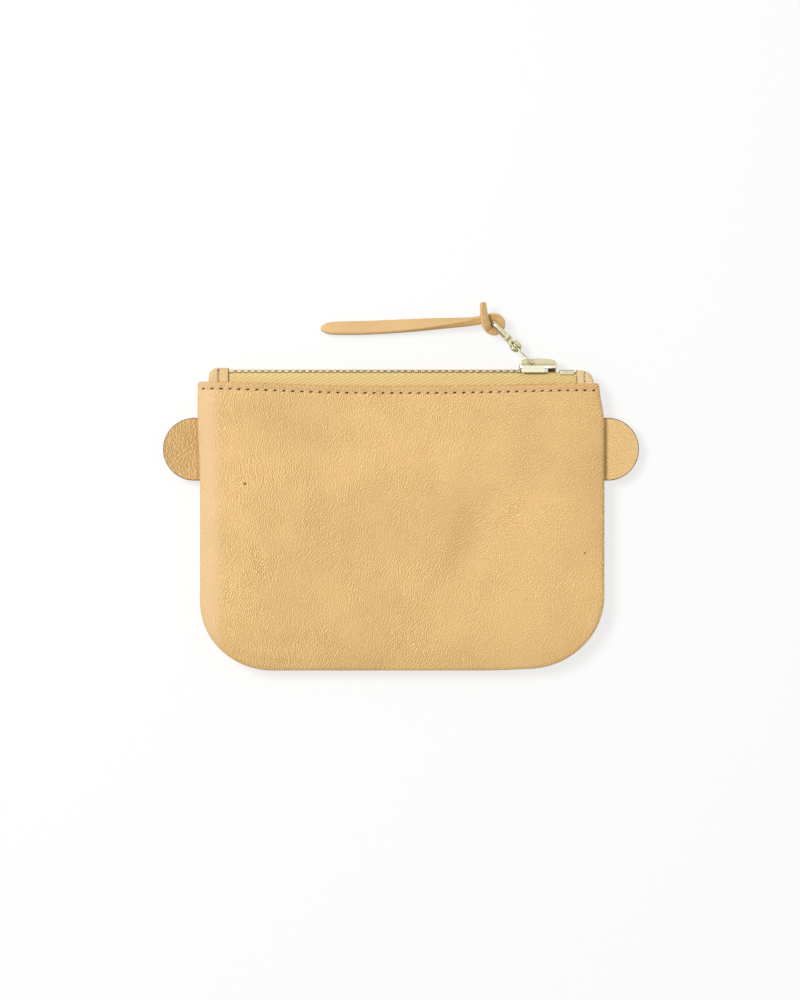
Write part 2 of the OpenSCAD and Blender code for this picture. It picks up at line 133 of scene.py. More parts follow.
def arc(cx, cy, r, start, end, steps):
    t = np.radians(np.linspace(start, end, steps + 1))
    return [(cx + r * math.cos(v), cy + r * math.sin(v)) for v in t]


def mirrored(half, tip=()):
    """Half an outline, a tip on its axis if it has one, and back along its mirror image."""
    return half + list(tip) + [(a, -b) for a, b in half[::-1]]


def in_patch(x, y, cx, cy, along, across, turn):
    """Where a place, in arrays or shader values, lies in a turned patch, in shares of the patch's reach."""
    c, s = math.cos(math.radians(turn)), math.sin(math.radians(turn))
    dx, dy = x - cx, y - cy
    return dx * (c / along) + dy * (s / along), dy * (c / across) - dx * (s / across)


# Mesh building

def grid(rows, cols, wrap=False):
    """Faces between rows of points; wrap closes each row to a ring."""
    faces = []
    for i in range(rows - 1):
        a, b = i * cols, (i + 1) * cols
        for j in range(cols if wrap else cols - 1):
            k = (j + 1) % cols
            faces.append((a + j, a + k, b + k, b + j))
    return faces


def closed_tube(rings, sides):
    """Faces round a tube of rings, with one over each end."""
    last = (rings - 1) * sides
    return grid(rings, sides, wrap=True) + [tuple(range(sides - 1, -1, -1)), tuple(range(last, last + sides))]


def flipped(faces):
    return [face[::-1] for face in faces]


class Shape:
    """Vertices, faces, face materials and flat-pattern coordinates, gathered patch by patch."""

    def __init__(self):
        self.verts, self.flat = np.empty((0, 3)), np.empty((0, 2))
        self.faces, self.slots = [], []

    def add(self, verts, faces, slot=0, flat=None):
        """Points may come in rows. The slot is one material number, or a list with one for each face."""
        verts = np.reshape(verts, (-1, 3)).astype(float)
        flat = verts[:, :2] if flat is None else np.reshape(flat, (-1, 2))
        base = len(self.verts)
        self.verts = np.concatenate([self.verts, verts])
        self.flat = np.concatenate([self.flat, flat])
        self.faces += [tuple(base + v for v in face) for face in faces]
        self.slots += np.broadcast_to(slot, len(faces)).tolist()
        return self

    def rows(self, rows, flats, slot=0, flip=False):
        faces = grid(len(rows), len(rows[0]))
        return self.add(rows, flipped(faces) if flip else faces, slot, flats)

    def prism(self, outline, low, high, place):
        """An outline (a, b) given thickness from low to high; place turns a, b and the level into points."""
        a, b = np.asarray(outline, float).T
        return self.add([place(a, b, level) for level in (low, high)], closed_tube(2, len(a)))

    def lathe(self, profile, place, sides=24):
        """A closed profile of (radius, height) turned about its axis; place gets a, b across and c along."""
        r, h = np.asarray(profile, float).T
        t = ring_angles(sides)
        verts = place(np.outer(r, np.cos(t)).ravel(), np.outer(r, np.sin(t)).ravel(), np.repeat(h, sides))
        return self.add(verts, closed_tube(len(r), sides))

    def stitch(self, start, end, rise, radius=THREAD_R, sunk=0.3, turns=2.0):
        """One twisted thread from a hole to the next, arched along rise and sunk at both ends."""
        start, end, rise = (np.asarray(v, float) for v in (start, end, rise))
        rings, sides = 13, 12
        s, t = np.linspace(0, 1, rings), ring_angles(sides)
        arch = np.sin(np.pi * s) ** 0.7 * (sunk + radius * 0.55) - sunk
        path = start + np.outer(s, end - start) + np.outer(arch, rise)
        way = unit(np.gradient(path, axis=0))
        across = unit(np.cross(way, rise))
        up = np.cross(across, way)
        taper = 0.72 + 0.28 * np.sin(np.pi * s)
        ply = 1 + 0.16 * np.cos(2 * t - FULL_TURN * turns * s[:, None])
        r = (radius * taper[:, None] * ply)[..., None]
        verts = path[:, None] + r * (np.cos(t)[:, None] * across[:, None] + np.sin(t)[:, None] * up[:, None])
        flat = columns(np.repeat(s * np.linalg.norm(end - start), sides), np.tile(t, rings))
        return self.add(verts, closed_tube(rings, sides), flat=flat)


def face_outward(mesh):
    work = bmesh.new()
    work.from_mesh(mesh)
    bmesh.ops.recalc_face_normals(work, faces=work.faces)
    work.to_mesh(mesh)
    work.free()


def make(name, shape, materials, sharp=50.0, normals=None):
    """A smooth piece. Without normals of its own it is turned outward, with edges sharp past an angle."""
    mesh = bpy.data.meshes.new(name)
    mesh.from_pydata((shape.verts * MM).tolist(), [], shape.faces)
    mesh.update()
    for material in materials:
        mesh.materials.append(material)
    mesh.polygons.foreach_set("material_index", np.array(shape.slots, dtype=np.int32))
    layer = mesh.uv_layers.new(name="Flat")
    index = np.empty(len(mesh.loops), dtype=np.int32)
    mesh.loops.foreach_get("vertex_index", index)
    layer.data.foreach_set("uv", (shape.flat[index] / UV_SPAN).ravel().astype(np.float32))
    mesh.shade_smooth()
    if normals is not None:
        mesh.normals_split_custom_set_from_vertices(normals.tolist())
    else:
        face_outward(mesh)
        mesh.set_sharp_from_angle(angle=math.radians(sharp))
    piece = bpy.data.objects.new(name, mesh)
    scene.collection.objects.link(piece)
    return piece


def welded(shape, step=1e-4):
    """The shape with vertices at one place joined, without the faces that shrink to a line."""
    key = np.round(shape.verts / step).astype(np.int64)
    _, first, back = np.unique(key, axis=0, return_index=True, return_inverse=True)
    back = back.ravel().tolist()
    faces, slots = [], []
    for face, slot in zip(shape.faces, shape.slots):
        ring = [back[v] for v in face]
        ring = [v for i, v in enumerate(ring) if v != ring[i - 1]]
        if len(ring) > 2:
            faces.append(ring)
            slots.append(slot)
    return Shape().add(shape.verts[first], faces, slots, shape.flat[first])


def vertex_normals(shape):
    total = np.zeros_like(shape.verts)
    for size in sorted({len(face) for face in shape.faces}):
        ring = np.array([face for face in shape.faces if len(face) == size])
        p = shape.verts[ring]
        normal = np.cross(p[:, 2] - p[:, 0], p[:, -1] - p[:, 1])
        np.add.at(total, ring, normal[:, None])
    return total / np.maximum(np.linalg.norm(total, axis=1, keepdims=True), 1e-12)


def halves(name, shape, materials):
    """Two pieces that meet at x = 0, left and right, smooth across the cut."""
    normals = vertex_normals(shape)
    middle = np.array([shape.verts[list(face), 0].mean() for face in shape.faces])
    pieces = []
    for side, keep in (("left", middle < 0), ("right", middle >= 0)):
        kept = np.flatnonzero(keep)
        used = np.unique(np.concatenate([shape.faces[i] for i in kept]))
        faces = [np.searchsorted(used, shape.faces[i]).tolist() for i in kept]
        part = Shape().add(shape.verts[used], faces, [shape.slots[i] for i in kept], shape.flat[used])
        pieces.append(make(f"{name}_{side}", part, materials, normals=normals[used]))
    return pieces


def bevel(piece, width, segments=3):
    step = piece.modifiers.new("Rounded edges", "BEVEL")
    step.width = width * MM
    step.segments = segments
    step.limit_method = "ANGLE"
    step.angle_limit = math.radians(30.0)
    step.harden_normals = True
    return piece


# Pieces in the frame

def dress(piece, body, node):
    """A piece that moves with one body, in place of a node."""
    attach(piece, body)
    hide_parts(node)


def open_with_mouth(pieces, node):
    """Left and right pieces in place of a node, kept where they are made; the mouth's ends go unused."""
    for piece, ends in zip(pieces, (OPEN_LEFT, OPEN_RIGHT)):
        start, end = ((x * MM, 0, MID_Z * MM) for x in ends)
        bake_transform(piece)
        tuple(start)
        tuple(end)
        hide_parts(node)


# Materials

def linear(red, green, blue):
    """A colour written as it looks on a screen, 0 to 255, as the linear colour that a shader takes."""
    parts = [v / 255 for v in (red, green, blue)]
    return tuple(v / 12.92 if v <= 0.04045 else ((v + 0.055) / 1.055) ** 2.4 for v in parts) + (1.0,)


def scaled(colour, k):
    return tuple(min(v * k, 1.0) for v in colour[:3]) + (1.0,)


def joined_by(operation, swapped=False):
    """A method that joins a shader value and another value or number in a maths node."""
    def join(self, other):
        return self.nodes.math(operation, *((other, self) if swapped else (self, other)))
    return join


class Value:
    """What a socket gives. Sums that are written with it become nodes."""

    def __init__(self, nodes, socket):
        self.nodes, self.socket = nodes, socket

    def __abs__(self):
        return self.nodes.math("ABSOLUTE", self)

    __add__, __radd__ = joined_by("ADD"), joined_by("ADD", True)
    __sub__, __rsub__ = joined_by("SUBTRACT"), joined_by("SUBTRACT", True)
    __mul__, __truediv__ = joined_by("MULTIPLY"), joined_by("DIVIDE")
    __gt__, __lt__ = joined_by("GREATER_THAN"), joined_by("LESS_THAN")


class Nodes:
    """An emptied node tree, and short ways to add to it."""

    def __init__(self, tree):
        self.tree = tree
        tree.nodes.clear()

    def put(self, socket, value):
        if isinstance(value, Value):
            self.tree.links.new(value.socket, socket)
        else:
            socket.default_value = value

    def node(self, kind, inputs, **settings):
        """A shader node with its settings, and a value or a link at each of the inputs, by name or number."""
        made = self.tree.nodes.new("ShaderNode" + kind)
        for key, value in settings.items():
            setattr(made, key, value)
        for key, value in inputs.items():
            self.put(made.inputs[key], value)
        return made

    def value(self, kind, inputs, output=0, **settings):
        return Value(self, self.node(kind, inputs, **settings).outputs[output])

    def math(self, operation, *terms):
        return self.value("Math", dict(enumerate(terms)), operation=operation)

    def span(self, value, low, high, to_low=0.0, to_high=1.0):
        """A soft step from to_low, where the value is low, to to_high, where it is high."""
        inputs = dict(enumerate((value, low, high, to_low, to_high)))
        return self.value("MapRange", inputs, interpolation_type="SMOOTHSTEP")

    def rays(self):
        """1 for a ray from the camera, and 1 for any that shows the background, also mirrored or in glass."""
        path = self.node("LightPath", {})
        camera, glossy, clear = (
            Value(self, path.outputs[f"Is {kind} Ray"]) for kind in ("Camera", "Glossy", "Transmission"))
        return camera, self.math("MAXIMUM", self.math("MAXIMUM", camera, glossy), clear)


class Look(Nodes):
    """A node material with its shader. Places are in millimetres, and scales in waves per millimetre."""

    def __init__(self, name):
        self.material = bpy.data.materials.new(name)
        self.material.use_nodes = True
        super().__init__(self.material.node_tree)
        self.shader = self.node("BsdfPrincipled", {})
        self.surface = Value(self, self.shader.outputs[0])
        self.out = self.node("OutputMaterial", {"Surface": self.surface})

    def mix(self, factor, a, b, kind="MIX"):
        return self.value("Mix", {0: factor, 6: a, 7: b}, 2, data_type="RGBA", blend_type=kind)

    def tint(self, colour, by):
        return self.mix(1.0, colour, by, "MULTIPLY")

    def far(self, a, b):
        return self.math("SQRT", a * a + b * b)

    def place(self, scale=(1, 1, 1), turn=0.0):
        """A place in the object's own frame, turned about Z and then scaled."""
        where = self.value("TexCoord", {}, "Object")
        return self.value("Mapping", {
            "Vector": where, "Scale": tuple(MM / v for v in scale), "Rotation": (0, 0, math.radians(turn)),
        }, vector_type="TEXTURE")

    def flat(self):
        """Places along and across the flat pattern."""
        where = self.value("UVMap", {}, uv_map="Flat")
        parts = self.node("SeparateXYZ", {0: where})
        return tuple(Value(self, parts.outputs[i]) * UV_SPAN for i in (0, 1))

    def noise(self, vector, scale, detail=2.0, rough=0.5, twist=0.0):
        return self.value("TexNoise", {
            "Vector": vector, "Scale": scale, "Detail": detail, "Roughness": rough, "Distortion": twist})

    def hatch(self, vector, scale, waves, even, aim):
        """Short waves across a direction, in packets; aim is the angle that the waves run in."""
        return self.value("TexGabor", {
            "Vector": vector, "Scale": scale, "Frequency": waves, "Anisotropy": even, 4: aim}, "Value")

    def slanted(self, vector, way=(0.8, 0.6, 0.0)):
        """The place, slid along a way by its height, so that a pattern also runs down a wall."""
        height = self.value("SeparateXYZ", {0: vector}, 2)
        slide = self.value("VectorMath", {0: way, "Scale": height}, operation="SCALE")
        return self.value("VectorMath", {0: vector, 1: slide}, operation="ADD")

    def jitter(self, vector, scale, amount):
        """The place, pushed about by noise, so that a pattern doesn't look ruled."""
        push = self.value("TexNoise", {"Vector": vector, "Scale": scale}, "Color")
        inputs = {0: push, 1: (amount,) * 3, 2: vector}
        return self.value("VectorMath", inputs, operation="MULTIPLY_ADD")

    def finish(self, colour, rough, height, depth_mm, **more):
        """The shader gets a colour, a roughness, a bump and, by the names of its inputs, more."""
        normal = self.value("Bump", {"Strength": 1.0, "Distance": depth_mm * MM, "Height": height})
        for key, value in {"Base Color": colour, "Roughness": rough, "Normal": normal, **more}.items():
            self.put(self.shader.inputs[key.replace("_", " ")], value)
        return self.material


def stitch_holes(look, pitch, line, reach):
    """Needle holes in a row across the flat pattern: 1 in a hole, 0 away from it."""
    x, y = look.flat()
    turn = x / pitch
    near = (turn - look.math("ROUND", turn)) * pitch
    off = y - line
    slant, half_long, half_wide = 0.35, 0.80, 0.33
    far = look.far((near - off * slant) / half_long, off / half_wide)
    ragged = far + look.noise(look.place(), 1.3) * 0.5
    return look.span(ragged, 0.75, 1.3, 1.0, 0.0) * (abs(x) < reach)


def spot_holes(look, spots, radius):
    """Single holes or pores at places of the flat pattern, each with its share of the radius."""
    x, y = look.flat()
    total = None
    for px, py, share in spots:
        one = look.span(look.far(x - px, y - py), radius * share * 0.45, radius * share, 1.0, 0.0)
        total = look.math("MAXIMUM", total, one) if total else one
    return total


def slit(look, line, low, high, half):
    """A narrow sunk line up the flat pattern: 1 in it, 0 away from it."""
    x, y = look.flat()
    wander = (look.noise(look.place(), 0.9) - 0.5) * 0.22
    return look.span(abs(x + wander - line), half * 0.4, half, 1.0, 0.0) * ((y > low) * (y < high))


def clouds(look, patches):
    """A gain over the flat pattern, from soft patches: place, reach along and across, turn, gain."""
    x, y = look.flat()
    total = 1.0
    for *patch, gain in patches:
        total = total + look.span(look.far(*in_patch(x, y, *patch)), 0.0, 1.6, gain, 0.0)
    return total


# How far the grain's lights and darks part in red, green and blue.
GRAIN_TINT = (0.72, 1.0, 1.75)
# What the leather's colour is multiplied with: in patches, at the hem and in fine folds.
PATCH_TINT = (1.0, 0.988, 0.975, 1)
HEM_TINT = (0.925, 0.91, 0.94, 1)
FOLD_TINT = (0.96, 0.95, 0.93, 1)
# A painted highlight: the pale sheen laid along the face's left edge.
PAINTED_SHEEN = linear(229, 195, 146)
# Painted shadow in a sunk slit.
SLIT_SHADOW = linear(84, 50, 20)
# Painted shade in needle holes.
HOLE_SHADOW = linear(56, 28, 8)
LEATHER_GLOSS = 0.35


def leather(name, colour, grain=1.25, relief=0.13, tone=0.21, rough=0.5, mottle=0.03, lean=62.0, wander=2.6,
            even=0.55, sweep=None, fade=None, creases=None, row=None, spots=None, spot_r=0.45, spot_dark=0.35,
            cut=None, slit_shade=0.95, sheen_band=None, hem=None, patches=None, seam_shadow=None):
    """Smooth vegetable-tanned leather: fine grain drawn out along a lean, pores, cloudy colour, soft gloss.

    Sweep and fade are spans along the flat pattern, of the grain's direction and of its strength. Two more
    spans paint a pale sheen along an edge, a painted highlight, and a dark band at a foot beside a seam, a
    painted shadow. Row, spots and cut are holes and slits in it, painted dark as the shade in them. Patches
    and creases are gains over it, of the colour and of the grain, and above the line hem the colour is
    deeper.
    """
    look = Look(name)
    at = look.place()
    along, up = look.flat()

    # The grain: ripples whose direction drifts, calmer in places.
    aim = (look.noise(at, 0.022, 1.0) - 0.5) * wander + math.radians(lean + 90)
    if sweep:
        aim = aim + look.span(along, *sweep)
    ripple = look.hatch(look.jitter(look.slanted(at), 0.7, 0.4), grain * 0.9, 1.2, even, aim)
    calm = look.span(look.noise(at, 0.09, 2.0), 0.34, 0.66, 0.72, 1.0)
    # Under the painted sheen along an edge the grain is calmer.
    if sheen_band:
        edge = look.span(along, *sheen_band)
        calm = calm * (1.0 - edge)
    if fade:
        calm = calm * look.span(along, *fade)
    if creases:
        calm = calm * clouds(look, creases)
    swell = (look.span(ripple, 0.34, 0.66) - 0.5) * calm + 0.5

    # Fine folds between cells, and a pore in some of the wider cells.
    cells = {"Vector": look.jitter(at, 0.5, 0.8), "Scale": grain * 1.6}
    fold = look.span(look.value("TexVoronoi", cells, feature="DISTANCE_TO_EDGE"), 0.0, 0.14)
    follicle = look.node("TexVoronoi", {"Vector": at, "Scale": 0.62})
    near, pick = (Value(look, follicle.outputs[key]) for key in ("Distance", "Color"))
    pick = look.value("SeparateColor", {0: pick})
    pore = look.span(near, 0.05, 0.13, 1.0, 0.0) * (pick > 0.6)

    cloud = look.noise(at, 0.035, 3.0, 0.55)
    patch = look.noise(at, 0.20, 4.0, 0.6)
    shade = look.mix(look.span(cloud, 0.3, 0.7), scaled(colour, 1 - mottle), scaled(colour, 1 + mottle))
    shade = look.mix(look.span(patch, 0.35, 0.75), shade, look.tint(shade, PATCH_TINT))
    # A painted highlight: the pale sheen along an edge.
    if sheen_band:
        shade = look.mix(edge, shade, PAINTED_SHEEN)
    if hem:
        shade = look.mix(look.span(up, hem - 0.4, hem + 0.7), shade, look.tint(shade, HEM_TINT))
    # Colour patches, where given, are partly the leather's own tone and partly painted shade and light of
    # dents.
    if patches:
        shade = look.tint(shade, clouds(look, patches))
    low, high = (tuple(1 + side * tone * k for k in GRAIN_TINT) + (1.0,) for side in (-1, 1))
    shade = look.tint(shade, look.mix(swell, low, high))
    # A painted shadow: a dark band along the foot of an ear, under the seam that overhangs it.
    if seam_shadow:
        shade = look.mix(look.span(along, *seam_shadow), shade, scaled(colour, 0.3))
    shade = look.mix(fold, look.tint(shade, FOLD_TINT), shade)
    shade = look.mix(pore * 0.35, shade, scaled(colour, 0.5))
    height = fold * 0.10 + look.noise(at, 2.4, 3.0, 0.6) * 0.12 + swell - pore * 0.35

    gloss = LEATHER_GLOSS
    if spots:
        # The holes and pores are painted dark, as the shade in them.
        pits = spot_holes(look, spots, spot_r)
        shade = look.mix(pits * (1 - spot_dark), shade, scaled(colour, 0.10))
        height = height - pits * 1.6
    if cut:
        groove = slit(look, *cut)
        # Painted shadow in the slit.
        shade = look.mix(groove * slit_shade, shade, SLIT_SHADOW)
        height = height - groove * 0.8
    if row:
        hole = stitch_holes(look, *row)
        # Painted shade in the needle holes.
        shade = look.mix(hole * 0.95, shade, HOLE_SHADOW)
        height = height - hole * 2.0
        gloss = look.span(hole, 0.0, 0.6, LEATHER_GLOSS, 0.0)
    roughness = look.span(patch, 0.25, 0.8, rough - 0.07, rough + 0.08)
    return look.finish(shade, roughness, height, relief, Specular_IOR_Level=gloss)


def flesh(name, colour):
    """The inside of the leather: short fibres, matt."""
    look = Look(name)
    nap = look.noise(look.place(), 1.1, 6.0, 0.75, 0.8)
    hair = look.noise(look.place((3.2, 0.7, 1), 24.0), 0.9, 4.0, 0.7)
    shade = look.mix(look.span(nap, 0.3, 0.7), scaled(colour, 0.80), scaled(colour, 1.08))
    shade = look.mix(look.span(hair, 0.45, 0.75, 0.0, 0.35), shade, scaled(colour, 1.18))
    roughness = look.span(nap, 0.2, 0.8, 0.8, 0.95)
    return look.finish(shade, roughness, nap + hair * 0.6, 0.12, Specular_IOR_Level=0.2)


def raw_edge(name, colour):
    """A cut edge of leather: layered fibres, burnished."""
    look = Look(name)
    layers = look.noise(look.place((0.5, 0.5, 5.0)), 1.0, 4.0, 0.65)
    fibres = look.noise(look.place(), 2.2, 4.0, 0.7)
    shade = look.mix(look.span(layers, 0.35, 0.7), scaled(colour, 0.80), scaled(colour, 1.06))
    shade = look.mix(look.span(fibres, 0.5, 0.8, 0.0, 0.5), shade, scaled(colour, 0.68))
    roughness = look.span(fibres, 0.2, 0.8, 0.5, 0.7)
    return look.finish(shade, roughness, layers + fibres, 0.08, Specular_IOR_Level=0.3)


def woven_tape(name, colour):
    """Herringbone tape: diagonal ribs that turn about in wide bands, with fine yarns across them."""
    look = Look(name)
    x, y = look.flat()
    rib_x, rib_y, band_h = 2.30, 1.05, 3.7
    yarn_x, yarn_y = 0.42, 0.36
    band = look.math("PINGPONG", y - (HALF_H - 0.9), band_h)
    turn = x * (1 / rib_x) - band * (1 / rib_y) + look.noise(look.place(), 0.22, 2.0) * 0.7
    rib = look.span(look.math("SINE", turn * FULL_TURN), -0.85, 0.85)
    yarn = x * (1 / yarn_x) + y * (1 / yarn_y)
    pick = look.span(look.math("SINE", yarn * FULL_TURN), -1.0, 1.0)
    fuzz = look.noise(look.place(), 3.0, 4.0, 0.7)
    shade = look.mix(rib, scaled(colour, 0.86), scaled(colour, 1.05))
    shade = look.mix(pick * 0.3, shade, scaled(colour, 0.84))
    shade = look.mix(look.span(fuzz, 0.4, 0.75, 0.0, 0.3), shade, scaled(colour, 1.10))
    roughness = look.span(fuzz, 0.3, 0.7, 0.72, 0.9)
    return look.finish(shade, roughness, rib + pick * 0.4 + fuzz * 0.3, 0.10,
                       Specular_IOR_Level=0.25, Sheen_Weight=0.12, Sheen_Roughness=0.5)


def metal(name, colour, rough=0.22, tarnish=0.25):
    """Plated metal: fine scratches, cloudy polish, and painted shade in the hollows."""
    look = Look(name)
    at = look.place()
    cloud = look.noise(at, 0.5, 3.0, 0.6)
    lines = look.noise(look.place((0.35, 9.0, 9.0), 18.0), 1.0, 3.0, 0.6)
    cross = look.noise(look.place((8.0, 0.4, 8.0), -12.0), 1.0, 2.0, 0.6)
    speck = look.noise(at, 6.0, 2.0, 0.5)
    worn = look.math("MAXIMUM", look.span(lines, 0.60, 0.72), look.span(cross, 0.64, 0.75))
    # Painted shade: darker and browner where ambient occlusion finds a hollow.
    hollow_shade = look.value("AmbientOcclusion", {"Distance": 1.6 * MM}, "AO", samples=8)
    shade = look.mix(look.span(cloud, 0.3, 0.75, 0.0, tarnish), colour, scaled(colour, 0.62))
    shade = look.mix(worn * 0.3, shade, scaled(colour, 1.15))
    shade = look.mix(look.span(hollow_shade, 0.25, 0.9), look.tint(shade, (0.34, 0.27, 0.17, 1)), shade)
    roughness = look.span(cloud, 0.25, 0.8, rough * 0.7, rough * 1.5) + worn * 0.12
    return look.finish(shade, roughness, worn * 0.5 + speck * 0.35, 0.012, Metallic=1.0)


def thread_look(name, colour):
    """Waxed thread: two plies laid over each other, with loose fibres."""
    look = Look(name)
    lay = 0.8
    twist = look.math("SINE", look.flat()[0] * (FULL_TURN / lay))
    fibre = look.noise(look.place(), 5.0, 3.0, 0.7)
    shade = look.mix(look.span(twist, -1.0, 0.6), scaled(colour, 0.72), scaled(colour, 1.06))
    shade = look.mix(look.span(fibre, 0.45, 0.75, 0.0, 0.5), shade, scaled(colour, 0.78))
    roughness = look.span(fibre, 0.3, 0.7, 0.45, 0.65)
    return look.finish(shade, roughness, twist + fibre * 1.2, 0.05, Specular_IOR_Level=0.4)


TAN = linear(230, 189, 126)
# Single pores, painted dark as the shade in them: place and share of the radius.
PANEL_PORES = [(-52.5, 14.3, 1.75), (-49.7, 23.7, 0.7), (61.3, -8.7, 1.0)]
# Patches of deeper and paler colour, partly the leather's own uneven tone and partly painted shade and light
# of dents, and patches where the grain is stronger.
PANEL_TONE_AND_SHADE = [(-40, 35, 17, 10, 0, -0.07), (19, -8, 16, 7, 62, -0.08), (40, 3, 9, 6, 62, 0.04),
                (-16, 20, 12, 9, 0, 0.03), (63, -26, 18, 6, 90, 0.08), (-48, -9, 9, 2.6, 105, 0.05)]
PANEL_CREASES = [(35.0, 3.6, 7.0, 1.8, 47, 0.6), (-48.3, -11.0, 7.0, 2.4, 108, 0.6),
                 (-29.0, 5.0, 9.0, 5.0, 62, 0.2)]
PANEL_GRAIN = dict(grain=1.38, tone=0.355, mottle=0.05, lean=82.0, wander=1.3, even=0.57,
                   sweep=(-75.0, 75.0, 0.05, -0.82), fade=(0.0, 45.0, 1.0, 0.66),
                   row=(STITCH_PITCH, STITCH_Y, HALF_W - 1.6), hem=STITCH_Y)
# The front's pale band along its left side is a painted highlight.
front_leather = leather(
    "front_leather", TAN, spots=PANEL_PORES, spot_r=0.36, spot_dark=0.2, sheen_band=(-58.5, -64.0, 0.0, 0.6),
    patches=PANEL_TONE_AND_SHADE, creases=PANEL_CREASES, **PANEL_GRAIN)
back_leather = leather("back_leather", TAN, **PANEL_GRAIN)
inner_leather = flesh("inner_leather", linear(214, 180, 130))
# The dark bands at the ears' feet, beside the seam, are painted shadows.
left_ear_leather = leather(
    "left_ear_leather", linear(218, 177, 116), grain=0.95, relief=0.26, tone=0.33, rough=0.58, mottle=0.06,
    lean=82.0, wander=0.6, even=0.6, seam_shadow=(-69.1, -68.0, 0.0, 0.16))
right_ear_leather = leather(
    "right_ear_leather", linear(241, 201, 137), grain=1.35, relief=0.10, tone=0.15, mottle=0.04, lean=165.0,
    seam_shadow=(69.3, 68.0, 0.0, 0.4))
strap_leather = leather(
    "strap_leather", linear(224, 185, 128), grain=1.3, relief=0.05, tone=0.06, rough=0.46, mottle=0.05)
edge_leather = raw_edge("edge_leather", linear(212, 171, 110))
ear_edge = raw_edge("ear_edge", linear(150, 118, 74))
tape_cloth = woven_tape("tape_cloth", linear(238, 209, 141))
brass = metal("brass", linear(206, 190, 142), rough=0.32, tarnish=0.35)
pale_gold = metal("pale_gold", linear(222, 212, 175), rough=0.20, tarnish=0.22)
# A brighter copy of the pale metal for the slider's plates: a painted highlight for the flanges' reflection.
highlit_gold = metal("highlit_gold", linear(246, 240, 216), rough=0.16, tarnish=0.12)
# A darker copy of the metal for the post and lower plate deep in the slider's throat: painted shade.
shaded_gold = metal("shaded_gold", linear(120, 104, 66), rough=0.42, tarnish=0.5)
thread = thread_look("thread", linear(240, 206, 150))


# The two panels

# The face is flat from FLAT_IN inside the seam, and starts to roll over at RIM_IN, where it is RIM_Z high.
FLAT_IN = 15.0
RIM_IN = 1.2
RIM_Z = 3.5
# Where the hem's fold starts, and how far the layers show beside the zip.
EDGE_Y = HALF_H - LEATHER_T
CORNER_IN = 3.9
# How far the cut ends of those layers are rounded off.
LAYER_ROUND = 0.32
# At its ends the hem thins towards the seam, over PINCH_W, and its fold is rounded off, over FOLD_W.
PINCH_W, FOLD_W = 3.0, 0.9
# Rows of points down the sides, which are closer in the first FINE_H, round a corner and along the bottom.
FINE_H = 13
SIDE_STEPS = (34, 52)
ARC_STEPS = 40
BASE_STEPS = 120
# The mouth sags in its middle, over SAG_HALF to each side.
SAG = 0.95
SAG_HALF = 62.0
# The panel's left mouth end and lower right corner lie higher than on the flat pattern, and its left side and
# upper right corner further in.
LEFT_UP, LOW_RIGHT_UP = 0.55, 0.7
LEFT_IN, RIGHT_IN = 0.8, 1.7
# The mouth stitches pull their row down, and more at each hole; the fold swells above it, and it dips below.
ROW_DEEP, HOLE_DEEP = 0.20, 0.08
FOLD_SWELL, BELOW_DEEP = 0.08, 0.05
# How high the fill of the pouch lifts the front, and how uneven it is all over.
FILL_H = 0.45
UNEVEN = 0.04
# Along the left seam, a ridge and a valley inside it: inset, width, height.
RIDGE = (4.6, 2.0, 0.20)
VALLEY = (9.4, 2.2, 0.14)
# Soft dents and swells of the front: place, reach along and across, turn, height.
DENTS = [(-31, 27, 15, 11, 150, -0.30), (-14, 19, 16, 9, 0, 0.15), (22, -6, 16, 5.5, 62, -0.60),
         (35, -3, 14, 7, 62, 0.22), (38, -18, 15, 16, 0, 0.14), (-8, -22, 24, 12, 0, 0.12),
         (-54, -26, 9, 8, 0, -0.12), (52, 22, 8, 14, 0, -0.12), (4, 28, 16, 7, 0, 0.08),
         (30, 30, 11, 7, 0, -0.08)]
# Fine wrinkles: place, reach, turn, length of a wave, height.
WRINKLES = [(-62.5, 40.5, 3.4, 84, 2.8, 0.05), (-56.0, -5.0, 5.0, 28, 3.1, 0.06),
            (-58.5, 24.0, 3.5, 100, 3.0, 0.04), (32.5, 2.0, 5.5, 152, 2.9, 0.06),
            (46.0, -38.0, 5.0, 50, 3.4, 0.05), (59.0, -20.0, 4.0, 80, 3.0, 0.04)]


def depth(x, y):
    """Distance in from the seam, measured on the flat outline."""
    cx, cy = HALF_W - CORNER_R, CORNER_R - HALF_H
    side = np.minimum(HALF_W - np.abs(x), y + HALF_H)
    corner = CORNER_R - np.hypot(np.abs(x) - cx, y - cy)
    return np.where((np.abs(x) > cx) & (y < cy), corner, side)


def shell_z(inset):
    """Height of the face over the middle plane, which falls off softly towards the seam."""
    far = np.clip((inset - RIM_IN) / (FLAT_IN - RIM_IN), 0, 1)
    return RIM_Z + (ROLL_R - RIM_Z) * (1 - (1 - far) ** 2)


